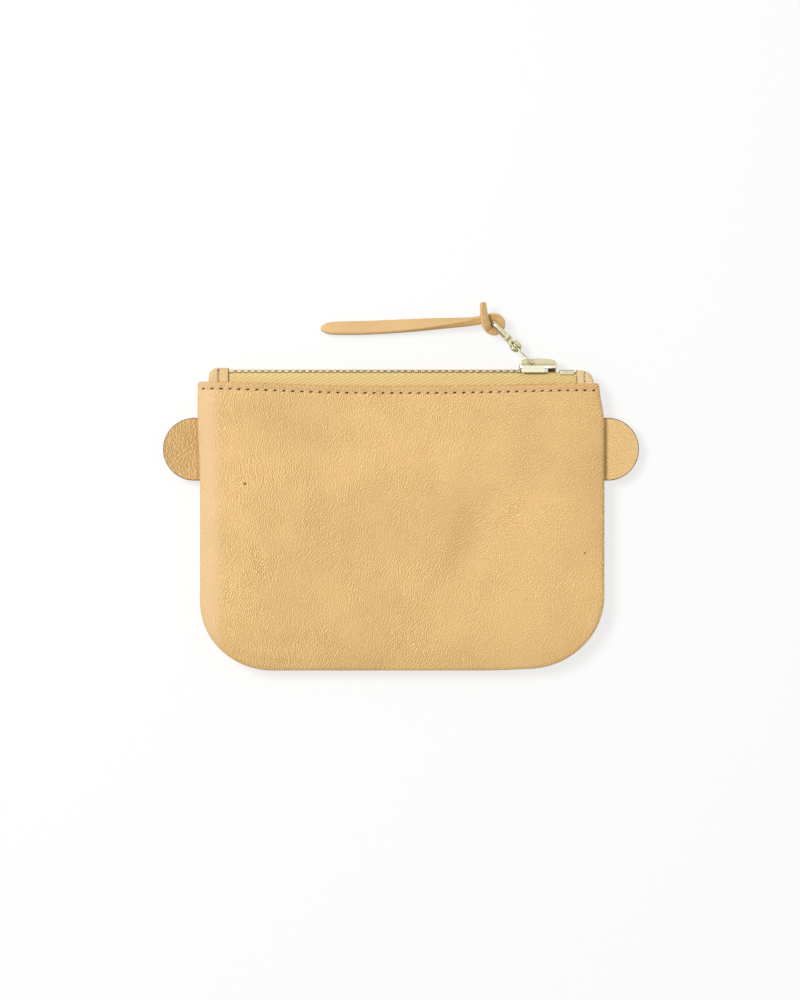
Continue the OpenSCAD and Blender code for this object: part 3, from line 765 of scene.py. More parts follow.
def front_lift(x, y):
    """How far the front stands off its flat form: the fill of the pouch, the ridge, dents and wrinkles."""
    d = depth(x, y)
    hem_low = HALF_H - HEM_H
    calm = ramp(y, hem_low, hem_low - 16)
    inside = ramp(d, 0, 8)
    z = FILL_H * np.clip(1 - (x / HALF_W) ** 2, 0, 1) * np.clip(1 - ((y + 8) / 44) ** 2, 0, 1) * calm
    left = ramp(-x, 12, 42)
    z = z + RIDGE[2] * bell(d, *RIDGE[:2]) * left * ramp(d, 0, 3)
    z = z - VALLEY[2] * bell(d, *VALLEY[:2]) * left * inside
    for *patch, h in DENTS:
        u, v = in_patch(x, y, *patch)
        z = z + h * np.exp(-(u ** 2 + v ** 2)) * inside * (0.35 + 0.65 * calm)
    z = z + UNEVEN * np.sin(0.19 * x + 0.11 * y + 1.1) * np.sin(0.15 * y - 0.07 * x + 0.4) * inside
    for cx, cy, size, turn, wave, h in WRINKLES:
        u, v = in_patch(x, y, cx, cy, size, size, turn)
        z = z + h * np.sin(FULL_TURN * u * size / wave) * np.exp(-(u ** 2 + v ** 2)) * ramp(d, 0, 4)
    return z


def stitch_dip(x, y):
    """How far the row of mouth stitches pulls the leather down."""
    pull = ROW_DEEP + HOLE_DEEP * np.cos(FULL_TURN * x / STITCH_PITCH)
    dip = -pull * bell(y, STITCH_Y, 0.75) * (np.abs(x) < HALF_W - 1.5)
    return dip + FOLD_SWELL * bell(y, STITCH_Y + 1.7, 0.7) - BELOW_DEEP * bell(y, STITCH_Y - 2.0, 1.3)


def lift_of(face, x, y):
    return stitch_dip(x, y) + (front_lift(x, y) if face > 0 else 0.0)


def lift_share(inset):
    """The lift is taken up over a narrow strip inside the seam."""
    return ramp(inset, 0.4, 4.9)


def rim_share(inset, z):
    return lift_share(inset) * ramp(z, 1.5, 3.0)


def settle(x, y):
    """Where a point of the flat pattern lies: the mouth sags in its middle and the sides aren't ruled."""
    sag = SAG * np.clip(1 - (x / SAG_HALF) ** 2, 0, 1) ** 1.5
    dy = (LEFT_UP * ramp(-x, 18, 64) - sag) * ramp(y, 6, 42)
    dy = dy + LOW_RIGHT_UP * ramp(x, 28, 50) * ramp(-y, 22, 44)
    dx = LEFT_IN * ramp(y, 38, 12) * ramp(y, -40, -20) * ramp(-x, 26, 68)
    dx = dx - RIGHT_IN * ramp(y, 34, 48) * ramp(x, 26, 68)
    return x + dx, y + dy


def seam_line(inset):
    """The flat outline drawn in from the seam: down the left side, along the bottom and up the right."""
    cx, cy = HALF_W - CORNER_R, CORNER_R - HALF_H
    r = CORNER_R - inset
    fine = np.linspace(EDGE_Y, EDGE_Y - FINE_H, SIDE_STEPS[0], endpoint=False)
    rest = np.linspace(EDGE_Y - FINE_H, cy, SIDE_STEPS[1] + 1)
    left = columns(inset - HALF_W, np.concatenate([fine, rest]))
    t = np.radians(np.linspace(180, 270, ARC_STEPS + 1))[1:]
    turn = columns(-cx + r * np.cos(t), cy + r * np.sin(t))
    base = columns(np.linspace(-cx, 0, BASE_STEPS // 2 + 1)[1:], inset - HALF_H)
    half = np.concatenate([left, turn, base])
    return np.concatenate([half, half[-2::-1] * (-1, 1)])


def filled(inset):
    """A patch that fills the outline up to the mouth, in rows from the mouth down and from left to right."""
    line = seam_line(inset)
    down = sum(SIDE_STEPS) + ARC_STEPS // 2
    left, base, right = line[:down + 1], line[down:len(line) - down], line[len(line) - down - 1:][::-1]
    cols = len(base)
    u = np.linspace(0, 1, cols)[None, :, None]
    v = running(left)
    v = (v / v[-1])[:, None, None]
    top = columns(np.linspace(left[0, 0], right[0, 0], cols), EDGE_Y)
    patch = (1 - u) * left[:, None] + u * right[:, None] + (1 - v) * top[None] + v * base[None]
    patch -= (1 - u) * (1 - v) * top[0] + u * (1 - v) * top[-1] + (1 - u) * v * base[0] + u * v * base[-1]
    patch[:, cols // 2, 0] = 0.0
    return patch


def rim_profile():
    """From the flat of the face out to the seam and in again: inset from the seam and height."""
    insets = (FLAT_IN, 13.6, 12.2, 10.8, 9.5, 8.3, 7.2, 6.2, 5.2, 4.3, 3.5, 2.8, 2.2, 1.7)
    rim = [(d, shell_z(d)) for d in insets]
    hull = np.array([rim[-1], (0.45, RIM_Z - 0.12), (0.0, 2.75), (0.0, 1.75)])
    for t in np.linspace(0, 1, 9)[1:]:
        rim.append(tuple(np.array([(1 - t) ** 3, 3 * t * (1 - t) ** 2, 3 * t * t * (1 - t), t ** 3]) @ hull))
    return rim, [(0.02, 1.25), (0.10, 0.80), (0.28, 0.42), (0.60, 0.18), (1.10, 0.08)]


def panel(face):
    """One panel: face, rolled edge, seam turned in, inner side, and the hem folded over at the mouth."""
    shape = Shape()

    def place(x, y, z):
        return columns(*settle(x, y), MID_Z + face * z)

    rim, groove = rim_profile()
    allow = [(SEAM_ALLOW - 0.15, 0.08), (SEAM_ALLOW, 0.35),
             (SEAM_ALLOW, LEATHER_T - 0.25), (SEAM_ALLOW - 0.2, LEATHER_T)]
    inner = [(1.3, LEATHER_T), (1.35, 1.7), (1.6, 2.1)]
    inner += [(d, shell_z(d) - LEATHER_T) for d in (2.2, 3.5, 5.2, 7.2, 9.5, 12.2, FLAT_IN)]
    for rings, slot in ((rim + groove, 0), (groove[-1:] + allow, 0), (allow[-1:] + inner, 1)):
        flats = [seam_line(inset) for inset, _ in rings]
        rows = [place(*line.T, z + lift_of(face, *line.T) * rim_share(inset, z))
                for line, (inset, z) in zip(flats, rings)]
        shape.rows(rows, flats, slot)
    patch = filled(FLAT_IN)
    x, y = patch.reshape(-1, 2).T
    lift = lift_of(face, x, y)
    for z, slot in ((ROLL_R, 0), (ROLL_R - LEATHER_T, 1)):
        faces = grid(*patch.shape[:2])
        shape.add(place(x, y, z + lift), flipped(faces) if slot else faces, slot, patch)

    # The corners beside the zip: the ends of the leather layers, pressed together in the side seam.
    contour = np.array([p for p in rim if p[0] <= CORNER_IN] + groove)[::-1]
    levels = [contour[0, 1], LEATHER_T, 2 * LEATHER_T, contour[-1, 1]]
    for end in (-1, 1):
        rows, flats = [], []
        for low, high in zip(levels[:-1], levels[1:]):
            for u in np.linspace(-1, 1, 11):
                z = (low + high) / 2 + u * (high - low) / 2
                reach = np.interp(z, contour[:, 1], contour[:, 0])
                x = end * (HALF_W - np.linspace(reach, CORNER_IN, 9))
                y = EDGE_Y - LAYER_ROUND * (1 - math.sqrt(1 - 0.97 * u * u))
                rows.append(place(x, y, z))
                flats.append(columns(x, y + z))
        shape.rows(rows, flats, 2, flip=end > 0)

    # The hem: the face goes over the mouth edge in a round fold and down inside to its cut edge.
    # It is pinched thin at both ends, where the seam holds it.
    side_d, side_z = np.array(rim[::-1]).T
    mid_x = patch[0, 1:-1, 0]
    line_x = np.concatenate([side_d - HALF_W, mid_x, (HALF_W - side_d)[::-1]])
    line_z = np.concatenate([side_z, np.full(len(mid_x), ROLL_R), side_z[::-1]])
    line_d = HALF_W - np.abs(line_x)
    line_z = line_z + lift_of(face, line_x, EDGE_Y) * rim_share(line_d, line_z)
    along = unit(columns(np.gradient(line_x), np.gradient(line_z)))
    nx, nz = -along[:, 1], along[:, 0]
    thick = LEATHER_T * np.clip(line_d / PINCH_W, 0.12, 1.0)
    rise = LEATHER_T * np.sqrt(np.clip(1 - (1 - np.clip(line_d / FOLD_W, 0, 1)) ** 2, 0.02, 1))
    fold = EDGE_Y + LEATHER_T * math.pi
    low = HALF_H - HEM_H
    # Each row's way in from the face, its place down the panel and its place on the flat pattern.
    steps = [(thick * (1 - math.cos(a)), EDGE_Y + rise * math.sin(a), EDGE_Y + LEATHER_T * a)
             for a in np.radians(np.linspace(0, 180, 11))]
    steps += [(2 * thick, y, fold + EDGE_Y - y) for y in np.linspace(EDGE_Y, low, 8)[1:]]
    steps += [(1.85 * thick, low - 0.18, fold + HEM_H), (1.05 * thick, low - 0.18, fold + HEM_H + 1)]
    rows = [place(line_x - into * nx, y, line_z - into * nz) for into, y, _ in steps]
    shape.rows(rows, [columns(line_x, at) for *_, at in steps], flip=True)

    # The patches are wound for the back, whose outer side looks down.
    shape = welded(shape)
    if face > 0:
        shape.faces = flipped(shape.faces)
    return shape


open_with_mouth(halves("front_leather", panel(1), [front_leather, inner_leather, edge_leather]),
                "front_panel")
back = panel(-1)
piece = make("back_leather", back, [back_leather, inner_leather, edge_leather], normals=vertex_normals(back))
dress(piece, "pouch", "back_panel")


# Side tabs

EAR_SOFT = 0.30
EAR_WAVE = 0.12


def ear(name, node, side, material, droop, curl):
    """A half-round tab with soft edges, which droops towards its end and curls up or down at its sides."""
    low, high = node_box(node)
    half = (high[1] - low[1]) / 2
    start, reach = sorted((abs(low[0]), abs(high[0])))
    round_x = reach - half
    t = np.radians(np.linspace(0, 90, 34))
    xs = np.concatenate([np.linspace(start, round_x, 16)[:-1], round_x + half * np.sin(t)])
    across = np.linspace(-1, 1, 61)
    across = np.sign(across) * (1 - (1 - np.abs(across)) ** 1.7)
    half_y = np.sqrt(np.clip(half ** 2 - np.clip(xs - round_x, 0, None) ** 2, 0.02 ** 2, None))
    x = np.repeat(xs, len(across))
    y = np.outer(half_y, across).ravel()
    from_edge = np.clip(half - np.hypot(np.clip(x - round_x, 0, None), y), 0, EAR_SOFT)
    drop = EAR_SOFT - np.sqrt(np.clip(EAR_SOFT ** 2 - (EAR_SOFT - from_edge) ** 2, 0, None))
    out = np.clip((x - HALF_W) / (reach - HALF_W), 0, None)
    bend = -droop * out ** 2 + curl * (y / half) ** 2 * out
    bend = bend + EAR_WAVE * np.sin(0.45 * y + 1.3 * out) * np.clip(out, 0, 1)
    shape = Shape()
    faces = grid(len(xs), len(across))
    slots = [int(from_edge[list(face)].mean() < EAR_SOFT * 0.9) for face in faces]
    for top in (1, -1):
        z = MID_Z + bend + top * (LEATHER_T / 2 - drop)
        shape.add(columns(side * x, (high[1] + low[1]) / 2 + y, z), faces, slots)
    at = np.arange(x.size).reshape(len(xs), len(across))
    ring = np.concatenate([at[:, 0], at[-1, 1:], at[-2::-1, -1], at[0, -2::-1]]).tolist()
    shape.faces += [(a, b, b + at.size, a + at.size) for a, b in zip(ring[:-1], ring[1:])]
    shape.slots += [1] * (len(ring) - 1)
    dress(make(name, shape, [material, ear_edge], sharp=60), "pouch", node)


ear("left_tab_leather", "left_ear", -1, left_ear_leather, 1.1, -0.5)
ear("right_tab_leather", "right_ear", 1, right_ear_leather, 0.8, 0.4)


# Zip tapes: cloth that stands up in the mouth and bends over to the chain, with a corded edge in the teeth

TAPE_MID = (HEM_IN + TAPE_IN) / 2
TAPE_HALF = (HEM_IN - TAPE_IN) / 2
TAPE_BEND = 1.1
TAPE_SHORT = 2.0
# The cloth above the hem waves a little, in two lengths of wave.
TAPE_WAVE = 0.05
TAPE_WAVES = (9.3, 23.0)
CORD_R = 0.44
CORD_Z = 0.95


def tape(face):
    """A closed section round the cloth and the cord, drawn along the zip."""
    rise = np.concatenate([np.linspace(TAPE_LOW[1], HALF_H - 2, 6),
                           np.linspace(HALF_H - 1.6, CHAIN_Y - TAPE_BEND, 10)])

    def skin(side):
        r = TAPE_BEND + side * TAPE_HALF
        over = columns(CHAIN_Y - TAPE_BEND + r * np.sin(QUARTER), TAPE_MID - TAPE_BEND + r * np.cos(QUARTER))
        return np.concatenate([columns(rise, TAPE_MID + side * TAPE_HALF), over])

    meet = math.asin(TAPE_HALF / CORD_R)
    round_cord = np.linspace(meet, FULL_TURN - meet, 15)
    cord = columns(CHAIN_Y + CORD_R * np.sin(round_cord), CORD_Z + CORD_R * np.cos(round_cord))
    section = np.concatenate([skin(1), cord, skin(-1)[::-1]])
    y, z = section.T
    xs = np.linspace(TAPE_LOW[0], TAPE_HIGH[0] - TAPE_SHORT, 190)
    wave = TAPE_WAVE * sum(np.sin(FULL_TURN * xs / long + i) for i, long in enumerate(TAPE_WAVES))
    sway = bell(y, HALF_H + 0.8, 1.0)
    rows = [columns(x, y, MID_Z + face * (z + w * sway)) for x, w in zip(xs, wave)]
    flats = [columns(x, running(section) + y[0]) for x in xs]
    faces = closed_tube(len(xs), len(y))
    if face > 0:
        faces = flipped(faces)
    return Shape().add(rows, faces, flat=flats)


open_with_mouth(halves("front_tape_cloth", tape(1), [tape_cloth]), "front_tape")
dress(make("back_tape_cloth", tape(-1), [tape_cloth], sharp=60), "pouch", "back_tape")


# Teeth: each grips the corded edge with two prongs and reaches over the middle with a narrower head

TOOTH_PITCH = 2.28
TOOTH_W = 0.9
PRONG_OUT = 1.95
PRONG_W = 1.25
HEAD_W = 0.72
HOOK = MID_Z - TOOTH_LOW[2]


def teeth(name, face, places):
    low, high = TOOTH_LOW[1] + 0.1, TOOTH_HIGH[1]
    grip = CORD_R - 0.06
    cheek = CORD_Z - CORD_R
    outline = [
        (PRONG_OUT, CHAIN_Y + grip), (PRONG_OUT, high - 0.25), (PRONG_OUT - 0.3, high), (0.5 - HOOK, high),
        (-HOOK, high - 0.45), (-HOOK, low + 0.45), (0.5 - HOOK, low), (PRONG_OUT - 0.3, low),
        (PRONG_OUT, low + 0.25), (PRONG_OUT, CHAIN_Y - grip), (cheek + 0.2, CHAIN_Y - grip),
        (cheek, CHAIN_Y - grip + 0.2), (cheek, CHAIN_Y + grip - 0.2), (cheek + 0.2, CHAIN_Y + grip)]
    nib = [(a, CHAIN_Y + b) for a, b in ((-0.3, -0.35), (0.3, -0.35), (0.3, 0.35), (-0.3, 0.35))]

    def tooth_at(x):
        def place(a, b, c):
            wide = HEAD_W + (PRONG_W - HEAD_W) * (a + HOOK) / (PRONG_OUT + HOOK)
            return columns(x + c * wide, b, MID_Z + face * a)
        return place

    shape = Shape()
    for x in places:
        shape.prism(outline, -0.5, 0.5, tooth_at(x)).prism(nib, 0.3, 0.62, tooth_at(x))
    return bevel(make(name, shape, [brass], sharp=40), 0.13, 2)


count = int(round((TOOTH_HIGH[0] - TOOTH_LOW[0] - TOOTH_W) / TOOTH_PITCH)) + 1
front_x = TOOTH_LOW[0] + TOOTH_W / 2 + TOOTH_PITCH * np.arange(count)
open_with_mouth([teeth("front_teeth_left", 1, front_x[front_x < 0]),
                 teeth("front_teeth_right", 1, front_x[front_x >= 0])], "front_teeth")
dress(teeth("back_row_teeth", -1, front_x + TOOTH_PITCH / 2), "pouch", "back_teeth")


# Stops at the two ends of the chain

STOP_LOW, STOP_HIGH = node_box("top_stops")
STOP_IN, STOP_OUT = 0.15, HEM_IN + 0.42
STOP_LIP = CHAIN_Y - 0.45
STOP_FOOT = TOOTH_LOW[1] + 0.3
STOP_STEP = 1.3
BOTTOM_LOW, BOTTOM_HIGH = node_box("bottom_stop")


def along_x(face):
    return lambda a, b, c: columns(c, b, MID_Z + face * a)


def top_stops():
    """A clip over the end of each row."""
    top = STOP_HIGH[1]
    outline = [
        (STOP_OUT, STOP_LIP), (STOP_OUT, top - 0.45), (STOP_OUT - 0.4, top), (STOP_IN + 0.35, top),
        (STOP_IN, top - 0.35), (STOP_IN, STOP_FOOT), (STOP_STEP, STOP_FOOT), (STOP_STEP, CHAIN_Y),
        (HEM_IN - 0.3, CHAIN_Y - 0.2), (HEM_IN - 0.1, STOP_LIP)]
    shape = Shape()
    for face in (1, -1):
        shape.prism(outline, STOP_LOW[0] + 0.5, STOP_HIGH[0] + 1.2, along_x(face))
    return shape


def bottom_stop():
    """A block that holds both rows, with a notch along its top."""
    half, low, high = MID_Z - BOTTOM_LOW[2], BOTTOM_LOW[1], BOTTOM_HIGH[1]
    outline = [(-half, low), (half, low), (half, high - 0.3), (half - 0.3, high), (0.25, high),
               (0, high - 0.2), (-0.25, high), (0.3 - half, high), (-half, high - 0.3)]
    return Shape().prism(outline, BOTTOM_LOW[0], BOTTOM_HIGH[0], along_x(1))


dress(bevel(make("end_stops", top_stops(), [pale_gold]), 0.16), "pouch", "top_stops")
dress(bevel(make("closed_end_stop", bottom_stop(), [brass]), 0.14), "pouch", "bottom_stop")


# End tabs: a strip of leather folded over each end of the zip, with a stitch sunk in a slit on both faces

TAB_HOLE_Y = HALF_H + 0.65
TAB_TUCK = HALF_H - 1.3
TAB_FOLD_R = 2.1
TAB_SOFT = 0.22
SLIT_DEEP = 0.30
# The upper hole leans a little to the left of the lower one.
HOLE_LEAN = 0.05


def end_tab(name, node, thread_node, out_side, colour, shoulder, fall, lower, slit_shade, holes):
    """The tab's outer side falls off in a round shoulder; lower sets the whole tab down a little."""
    low, high = node_box(node)
    stitch_low, stitch_high = node_box(thread_node)
    stitch_x = (stitch_low[0] + stitch_high[0]) / 2
    stitch_top = stitch_high[1] - lower
    outer_z = high[2] - MID_Z
    thick = outer_z - HEM_IN
    xs = np.concatenate([np.linspace(0, shoulder, 20)[:-1], np.linspace(shoulder, high[0] - low[0], 24)])
    drop = fall * (1 - np.sqrt(1 - (1 - np.clip(xs / shoulder, 0, 1)) ** 2))
    tops = high[1] - lower - np.minimum(drop, fall - 0.35)

    def section(top, into):
        """From the front leaf's low end over the fold to the back leaf's, into the leather by some way."""
        z, r = outer_z - into, TAB_FOLD_R - into * 0.6
        y = top - into - r
        half = np.concatenate([columns(np.linspace(TAB_TUCK, y, 14), z),
                               columns(y + r * np.sin(QUARTER), z - r + r * np.cos(QUARTER))])
        return np.concatenate([half, (half * (1, -1))[::-1]])

    # Round the strip's own section, from its inner face over the outer one and back: place, top, way in.
    walls = (thick, thick - TAB_SOFT, TAB_SOFT)
    outer_xs = np.concatenate([[xs[0] + TAB_SOFT], xs[1:-1], [xs[-1] - TAB_SOFT]])
    steps = [(xs[0], tops[0], into) for into in walls]
    steps += [(s, top, 0.0) for s, top in zip(outer_xs, tops)]
    steps += [(xs[-1], tops[-1], into) for into in walls[::-1]]
    steps += [(s, top, thick) for s, top in zip(xs[::-1], tops[::-1])]
    rows, flats = [], []
    for s, top, into in steps:
        line = section(top, into)
        y, z = line.T
        x = low[0] + s if out_side < 0 else high[0] - s
        if into == 0.0:
            sunk = bell(x, stitch_x, 0.34) * ramp(y, stitch_top + 0.8, stitch_top + 0.3)
            z = z - np.sign(z) * SLIT_DEEP * sunk
        rows.append(columns(x, y, MID_Z + z))
        flats.append(columns(x, running(line) + TAB_TUCK))
    per = len(rows[0])
    faces = grid(len(rows), per) + [tuple(range(end, len(rows) * per, per)) for end in (0, per - 1)]
    outer = range(len(walls), len(walls) + len(xs) - 1)
    slots = [int(i not in outer) for i in range(len(rows) - 1) for _ in range(per - 1)] + [1, 1]
    shape = Shape().add(rows, faces, slots, flats)
    spots = [(stitch_x, TAB_HOLE_Y, 1.0), (stitch_x - HOLE_LEAN, stitch_top + 0.2, 1.0)][:holes]
    # The tab's slit and holes are painted dark, as the shade in them.
    cover = leather(name + "_leather", colour, grain=1.4, relief=0.04, tone=0.05, spots=spots, spot_r=0.42,
                    spot_dark=0.1, cut=(stitch_x - HOLE_LEAN, TAB_HOLE_Y + 0.6, stitch_top + 0.9, 0.36),
                    slit_shade=slit_shade)
    dress(make(name, welded(shape), [cover, edge_leather], sharp=60), "pouch", node)

    seam = Shape()
    for face in (1, -1):
        rise, z = (0, 0, face), MID_Z + face * (outer_z - SLIT_DEEP)
        above, top = (stitch_x, TAB_HOLE_Y + 0.3, z), (stitch_x - HOLE_LEAN, stitch_top + 0.1, z)
        below, foot = (stitch_x, TAB_HOLE_Y - 0.35, z), (stitch_x, TAB_TUCK, z)
        seam.stitch(above, top, rise, radius=0.12, turns=3.0).stitch(foot, below, rise, radius=0.15, sunk=0.2)
    dress(make(name + "_stitches", seam, [thread], sharp=80), "pouch", thread_node)


# The left tab's slit takes a deeper painted shadow than the right tab's.
end_tab("left_zip_tab", "left_end_tab", "left_tab_thread", -1, linear(221, 187, 135),
        shoulder=3.0, fall=3.0, lower=0.0, slit_shade=0.95, holes=2)
end_tab("right_zip_tab", "right_end_tab", "right_tab_thread", 1, linear(232, 202, 156),
        shoulder=5.0, fall=3.2, lower=0.75, slit_shade=0.6, holes=1)


# Stitching

MOUTH_STITCHES = 2 * int((HALF_W - 2.0) / STITCH_PITCH)
STITCH_HALF = STITCH_PITCH / 2 - 0.22
# Between the end tabs, the back of each stitch shows on the tape.
TAPE_SHOWS = node_box("left_end_tab")[1][0] + 2.0, node_box("right_end_tab")[0][0] - 2.0


def on_face(face, x, y):
    """A place on the panel's outer face."""
    d = HALF_W - abs(x)
    return *settle(x, y), MID_Z + face * (shell_z(d) + lift_share(d) * lift_of(face, x, y))


def mouth_stitches(name, face, low, high):
    shape = Shape()
    for i in range(MOUTH_STITCHES):
        x = (i - (MOUTH_STITCHES - 1) / 2) * STITCH_PITCH
        if not low < x < high:
            continue
        y = STITCH_Y + 0.07 * math.sin(2.3 * i) + 0.05 * math.sin(5.1 * i + 1)
        start, end = (on_face(face, x + k * STITCH_HALF, y + k * 0.26) for k in (-1, 1))
        shape.stitch(start, end, (0, 0, face), sunk=0.28)
        if TAPE_SHOWS[0] < x < TAPE_SHOWS[1]:
            y = on_face(face, x, STITCH_Y)[1]
            z = MID_Z + face * (TAPE_IN + 0.02)
            start, end = ((x + k * STITCH_HALF, y + k * 0.2, z) for k in (-1, 1))
            shape.stitch(start, end, (0, 0, -face), sunk=0.2)
    return make(name, shape, [thread], sharp=80)


def seam_stitches():
    """A row inside the pouch, along the middle of the seam allowance."""
    line = seam_line(SEAM_ALLOW / 2)
    line = line[line[:, 1] < node_box("seam_thread")[1][1]]
    run = running(line)
    places = np.arange(0.3, run[-1] - 0.3, STITCH_PITCH)
    holes = columns(*(np.interp(places, run, part) for part in line.T), MID_Z - LEATHER_T - 0.03)
    shape = Shape()
    for a, b in zip(holes[:-1], holes[1:]):
        shape.stitch(a + 0.1 * (b - a), b - 0.1 * (b - a), (0, 0, -1), sunk=0.2)
    return make("seam_stitches", shape, [thread], sharp=80)


open_with_mouth([mouth_stitches("front_stitches_left", 1, -HALF_W, 0),
                 mouth_stitches("front_stitches_right", 1, 0, HALF_W)], "front_top_thread")
dress(mouth_stitches("back_stitches", -1, -HALF_W, HALF_W), "pouch", "back_top_thread")
dress(seam_stitches(), "pouch", "seam_thread")


# Slider

SLIDER_LOW, SLIDER_HIGH = node_box("slider_body")
SX0, SX1 = SLIDER_LOW[0], SLIDER_HIGH[0]
SLIDER_HALF = SLIDER_HIGH[2] - MID_Z
PLATE_T = 1.0
CROWN_H = 2.4
CROWN_HALF = 1.75
CROWN_R = 1.3
PLATE_TOP = SLIDER_HIGH[1] - CROWN_H
PLATE_LOW = PLATE_TOP - PLATE_T
BOTTOM_Y = SLIDER_LOW[1]
NARROW = 4.2
FLANGE_T = 0.67
FLANGE_LOW = TOOTH_HIGH[1] - 1.1


def upright(a, b, c):
    return columns(a, b, MID_Z + c)


def lying(a, b, c):
    return columns(a, c, MID_Z - b)


def cast(name, shape, material, round_edge, body, node, segments=3):
    """A metal piece with rounded edges."""
    piece = bevel(make(name, shape, [material], sharp=40), round_edge, segments)
    dress(piece, body, node)


def slider_plates():
    """The top plate, wider where the two rows come in, and a flange down each side of it."""
    neck = SX1 - 5.2
    side = [(SX0, NARROW - 1.1)] + arc(SX0 + 0.9, NARROW - 0.9, 0.9, 180, 90, 6) + [(neck, NARROW)]
    side += [(neck + 1.2, NARROW + 0.12), (SX1 - 2.4, SLIDER_HALF - 0.05)]
    side += arc(SX1 - 1.5, SLIDER_HALF - 1.5, 1.5, 80, 8, 8)
    shape = Shape().prism(mirrored(side), PLATE_LOW, PLATE_TOP, lying)
    start, end, low, high = SX0 + 0.9, SX0 + 8.7, FLANGE_LOW, PLATE_TOP - 0.2
    flange = [(start, low + 0.25), (start + 0.25, low), (end - 0.25, low), (end, low + 0.25),
              (end, high), (start, high)]
    for sign in (1, -1):
        outer = sign * (NARROW + 0.02)
        shape.prism(flange, outer - sign * FLANGE_T, outer, upright)
    return shape


def slider_wedge():
    """Under the top plate: the post that parts the chain, and the lower plate inside the pouch."""
    half, r = TAPE_IN - 0.3, 0.8
    start, end = SX0 + 0.9, SX1 - 0.5
    foot = arc(start + r, half - r, r, 180, 90, 5) + arc(end - r, half - r, r, 90, 0, 5)
    shape = Shape().prism(mirrored(foot), BOTTOM_Y, BOTTOM_Y + PLATE_T, lying)
    tip = SX1 - 3.2
    post = mirrored([(end, 0.30), (tip + 1.7, 0.40), (tip + 0.8, 0.28)], [(tip, 0.0)])
    return shape.prism(post, BOTTOM_Y + 0.8, PLATE_LOW + 0.2, lying)


def slider_crown():
    """A bridge on the top plate, with round shoulders and a crowned back."""
    start, end = SX0 + 0.3, SX1 - 0.3
    foot_y, shoulder_y = PLATE_TOP - 0.2, SLIDER_HIGH[1] - CROWN_R - 0.45
    back_x = np.linspace(end - CROWN_R, start + CROWN_R, 11)
    back_y = SLIDER_HIGH[1] - 0.55 * ((back_x - (start + end) / 2) / ((end - start) / 2)) ** 2
    outline = [(start, foot_y), (end, foot_y), (end, shoulder_y)]
    outline += arc(end - CROWN_R, shoulder_y, CROWN_R, 0, 84, 8)[1:-1] + list(zip(back_x, back_y))
    outline += arc(start + CROWN_R, shoulder_y, CROWN_R, 96, 180, 8)[1:]
    return Shape().prism(outline, -CROWN_HALF, CROWN_HALF, upright)


# The slider's plates are given the painted highlight copy of the metal.
cast("slider_plates", slider_plates(), highlit_gold, 0.17, "slider", "slider_body")
# The post and lower plate in the throat are given the painted shade copy of the metal.
cast("slider_wedge", slider_wedge(), shaded_gold, 0.17, "slider", "slider_body")
cast("slider_crown", slider_crown(), pale_gold, 0.32, "slider", "slider_body", 4)


# The pull: link, forked shackle, rivet

JOINTS = {joint["name"]: joint for joint in frame["joints"]}
LINK_AT, PIN_AT, BAR_AT = (
    np.array(JOINTS[name]["pos_m"]) / MM for name in ("link_swing", "shackle_tilt", "strap_swing"))
LINK_LEN = np.linalg.norm(PIN_AT - LINK_AT)
SHACKLE_LEN = np.linalg.norm(BAR_AT - PIN_AT)
PULL = (PIN_AT - LINK_AT) / LINK_LEN
FLAT_N = np.array([-PULL[1], PULL[0], 0.0])
LINK_T = 0.45
LINK_HALF = 3.1
WINDOW_HALF = 2.0
WINDOW_END = 4.6
EYE_R = 1.9
# The radius of the corners of the link and the fork.
FILLET = 0.5
CHEEK_IN, CHEEK_OUT = 0.38, 1.18
WIRE_R = 0.8
WIRE_WIDE = 1.0
LEG_Z = 2.6
BEND_R = 1.5
FORK = 2.15
YOKE = 3.6
RIVET_R = 1.5


def along_pull(origin):
    """Points from s along the pull, z off the middle plane and n across its plates."""
    def place(s, z, n):
        return origin + np.outer(s, PULL) + np.outer(n, FLAT_N) + np.outer(z, (0, 0, 1))
    return place


at_pin = along_pull(PIN_AT)


def link_plate():
    """A flat plate with a window at the crown's end and a round eye at the other."""
    half = arc(WINDOW_END - FILLET, WINDOW_HALF - FILLET, FILLET, 0, 90, 5)
    half += [(0.0, WINDOW_HALF), (0.0, LINK_HALF)]
    half += arc(WINDOW_END + 0.3, LINK_HALF - FILLET, FILLET, 90, 0, 5)
    half += arc(WINDOW_END + 1.3, EYE_R + FILLET, FILLET, 180, 270, 4)
    half += arc(LINK_LEN, 0, EYE_R, 90, 0, 12)[:-1]
    outline = mirrored(half, [(LINK_LEN + EYE_R, 0.0)])
    return Shape().prism(outline, -LINK_T / 2, LINK_T / 2, along_pull(LINK_AT))


def link_bar():
    """The round bar in the crown, from one side of the link to the other."""
    half = [(0.22, LINK_HALF + 0.02), (0.38, LINK_HALF - 0.06), (0.45, LINK_HALF - 0.22)]
    return Shape().lathe(mirrored(half), lambda a, b, c: LINK_AT + columns(a, b, c))


def fork():
    """Two cheeks beside the link's eye, joined by a yoke that widens to the legs of the wire."""
    shape = Shape()
    cheek = arc(0, 0, EYE_R, 90, 270, 24) + [(FORK + 0.3, -EYE_R), (FORK + 0.3, EYE_R)]
    for sign in (1, -1):
        shape.prism(cheek, sign * CHEEK_IN, sign * CHEEK_OUT, at_pin)
    yoke = [(FORK, EYE_R), (YOKE - 0.4, EYE_R)] + arc(YOKE + 0.4, LEG_Z + 0.3, FILLET, 180, 90, 4)
    return shape.prism(mirrored(yoke + [(YOKE + 1.2, LEG_Z + 0.8)]), -CHEEK_OUT, CHEEK_OUT, at_pin)


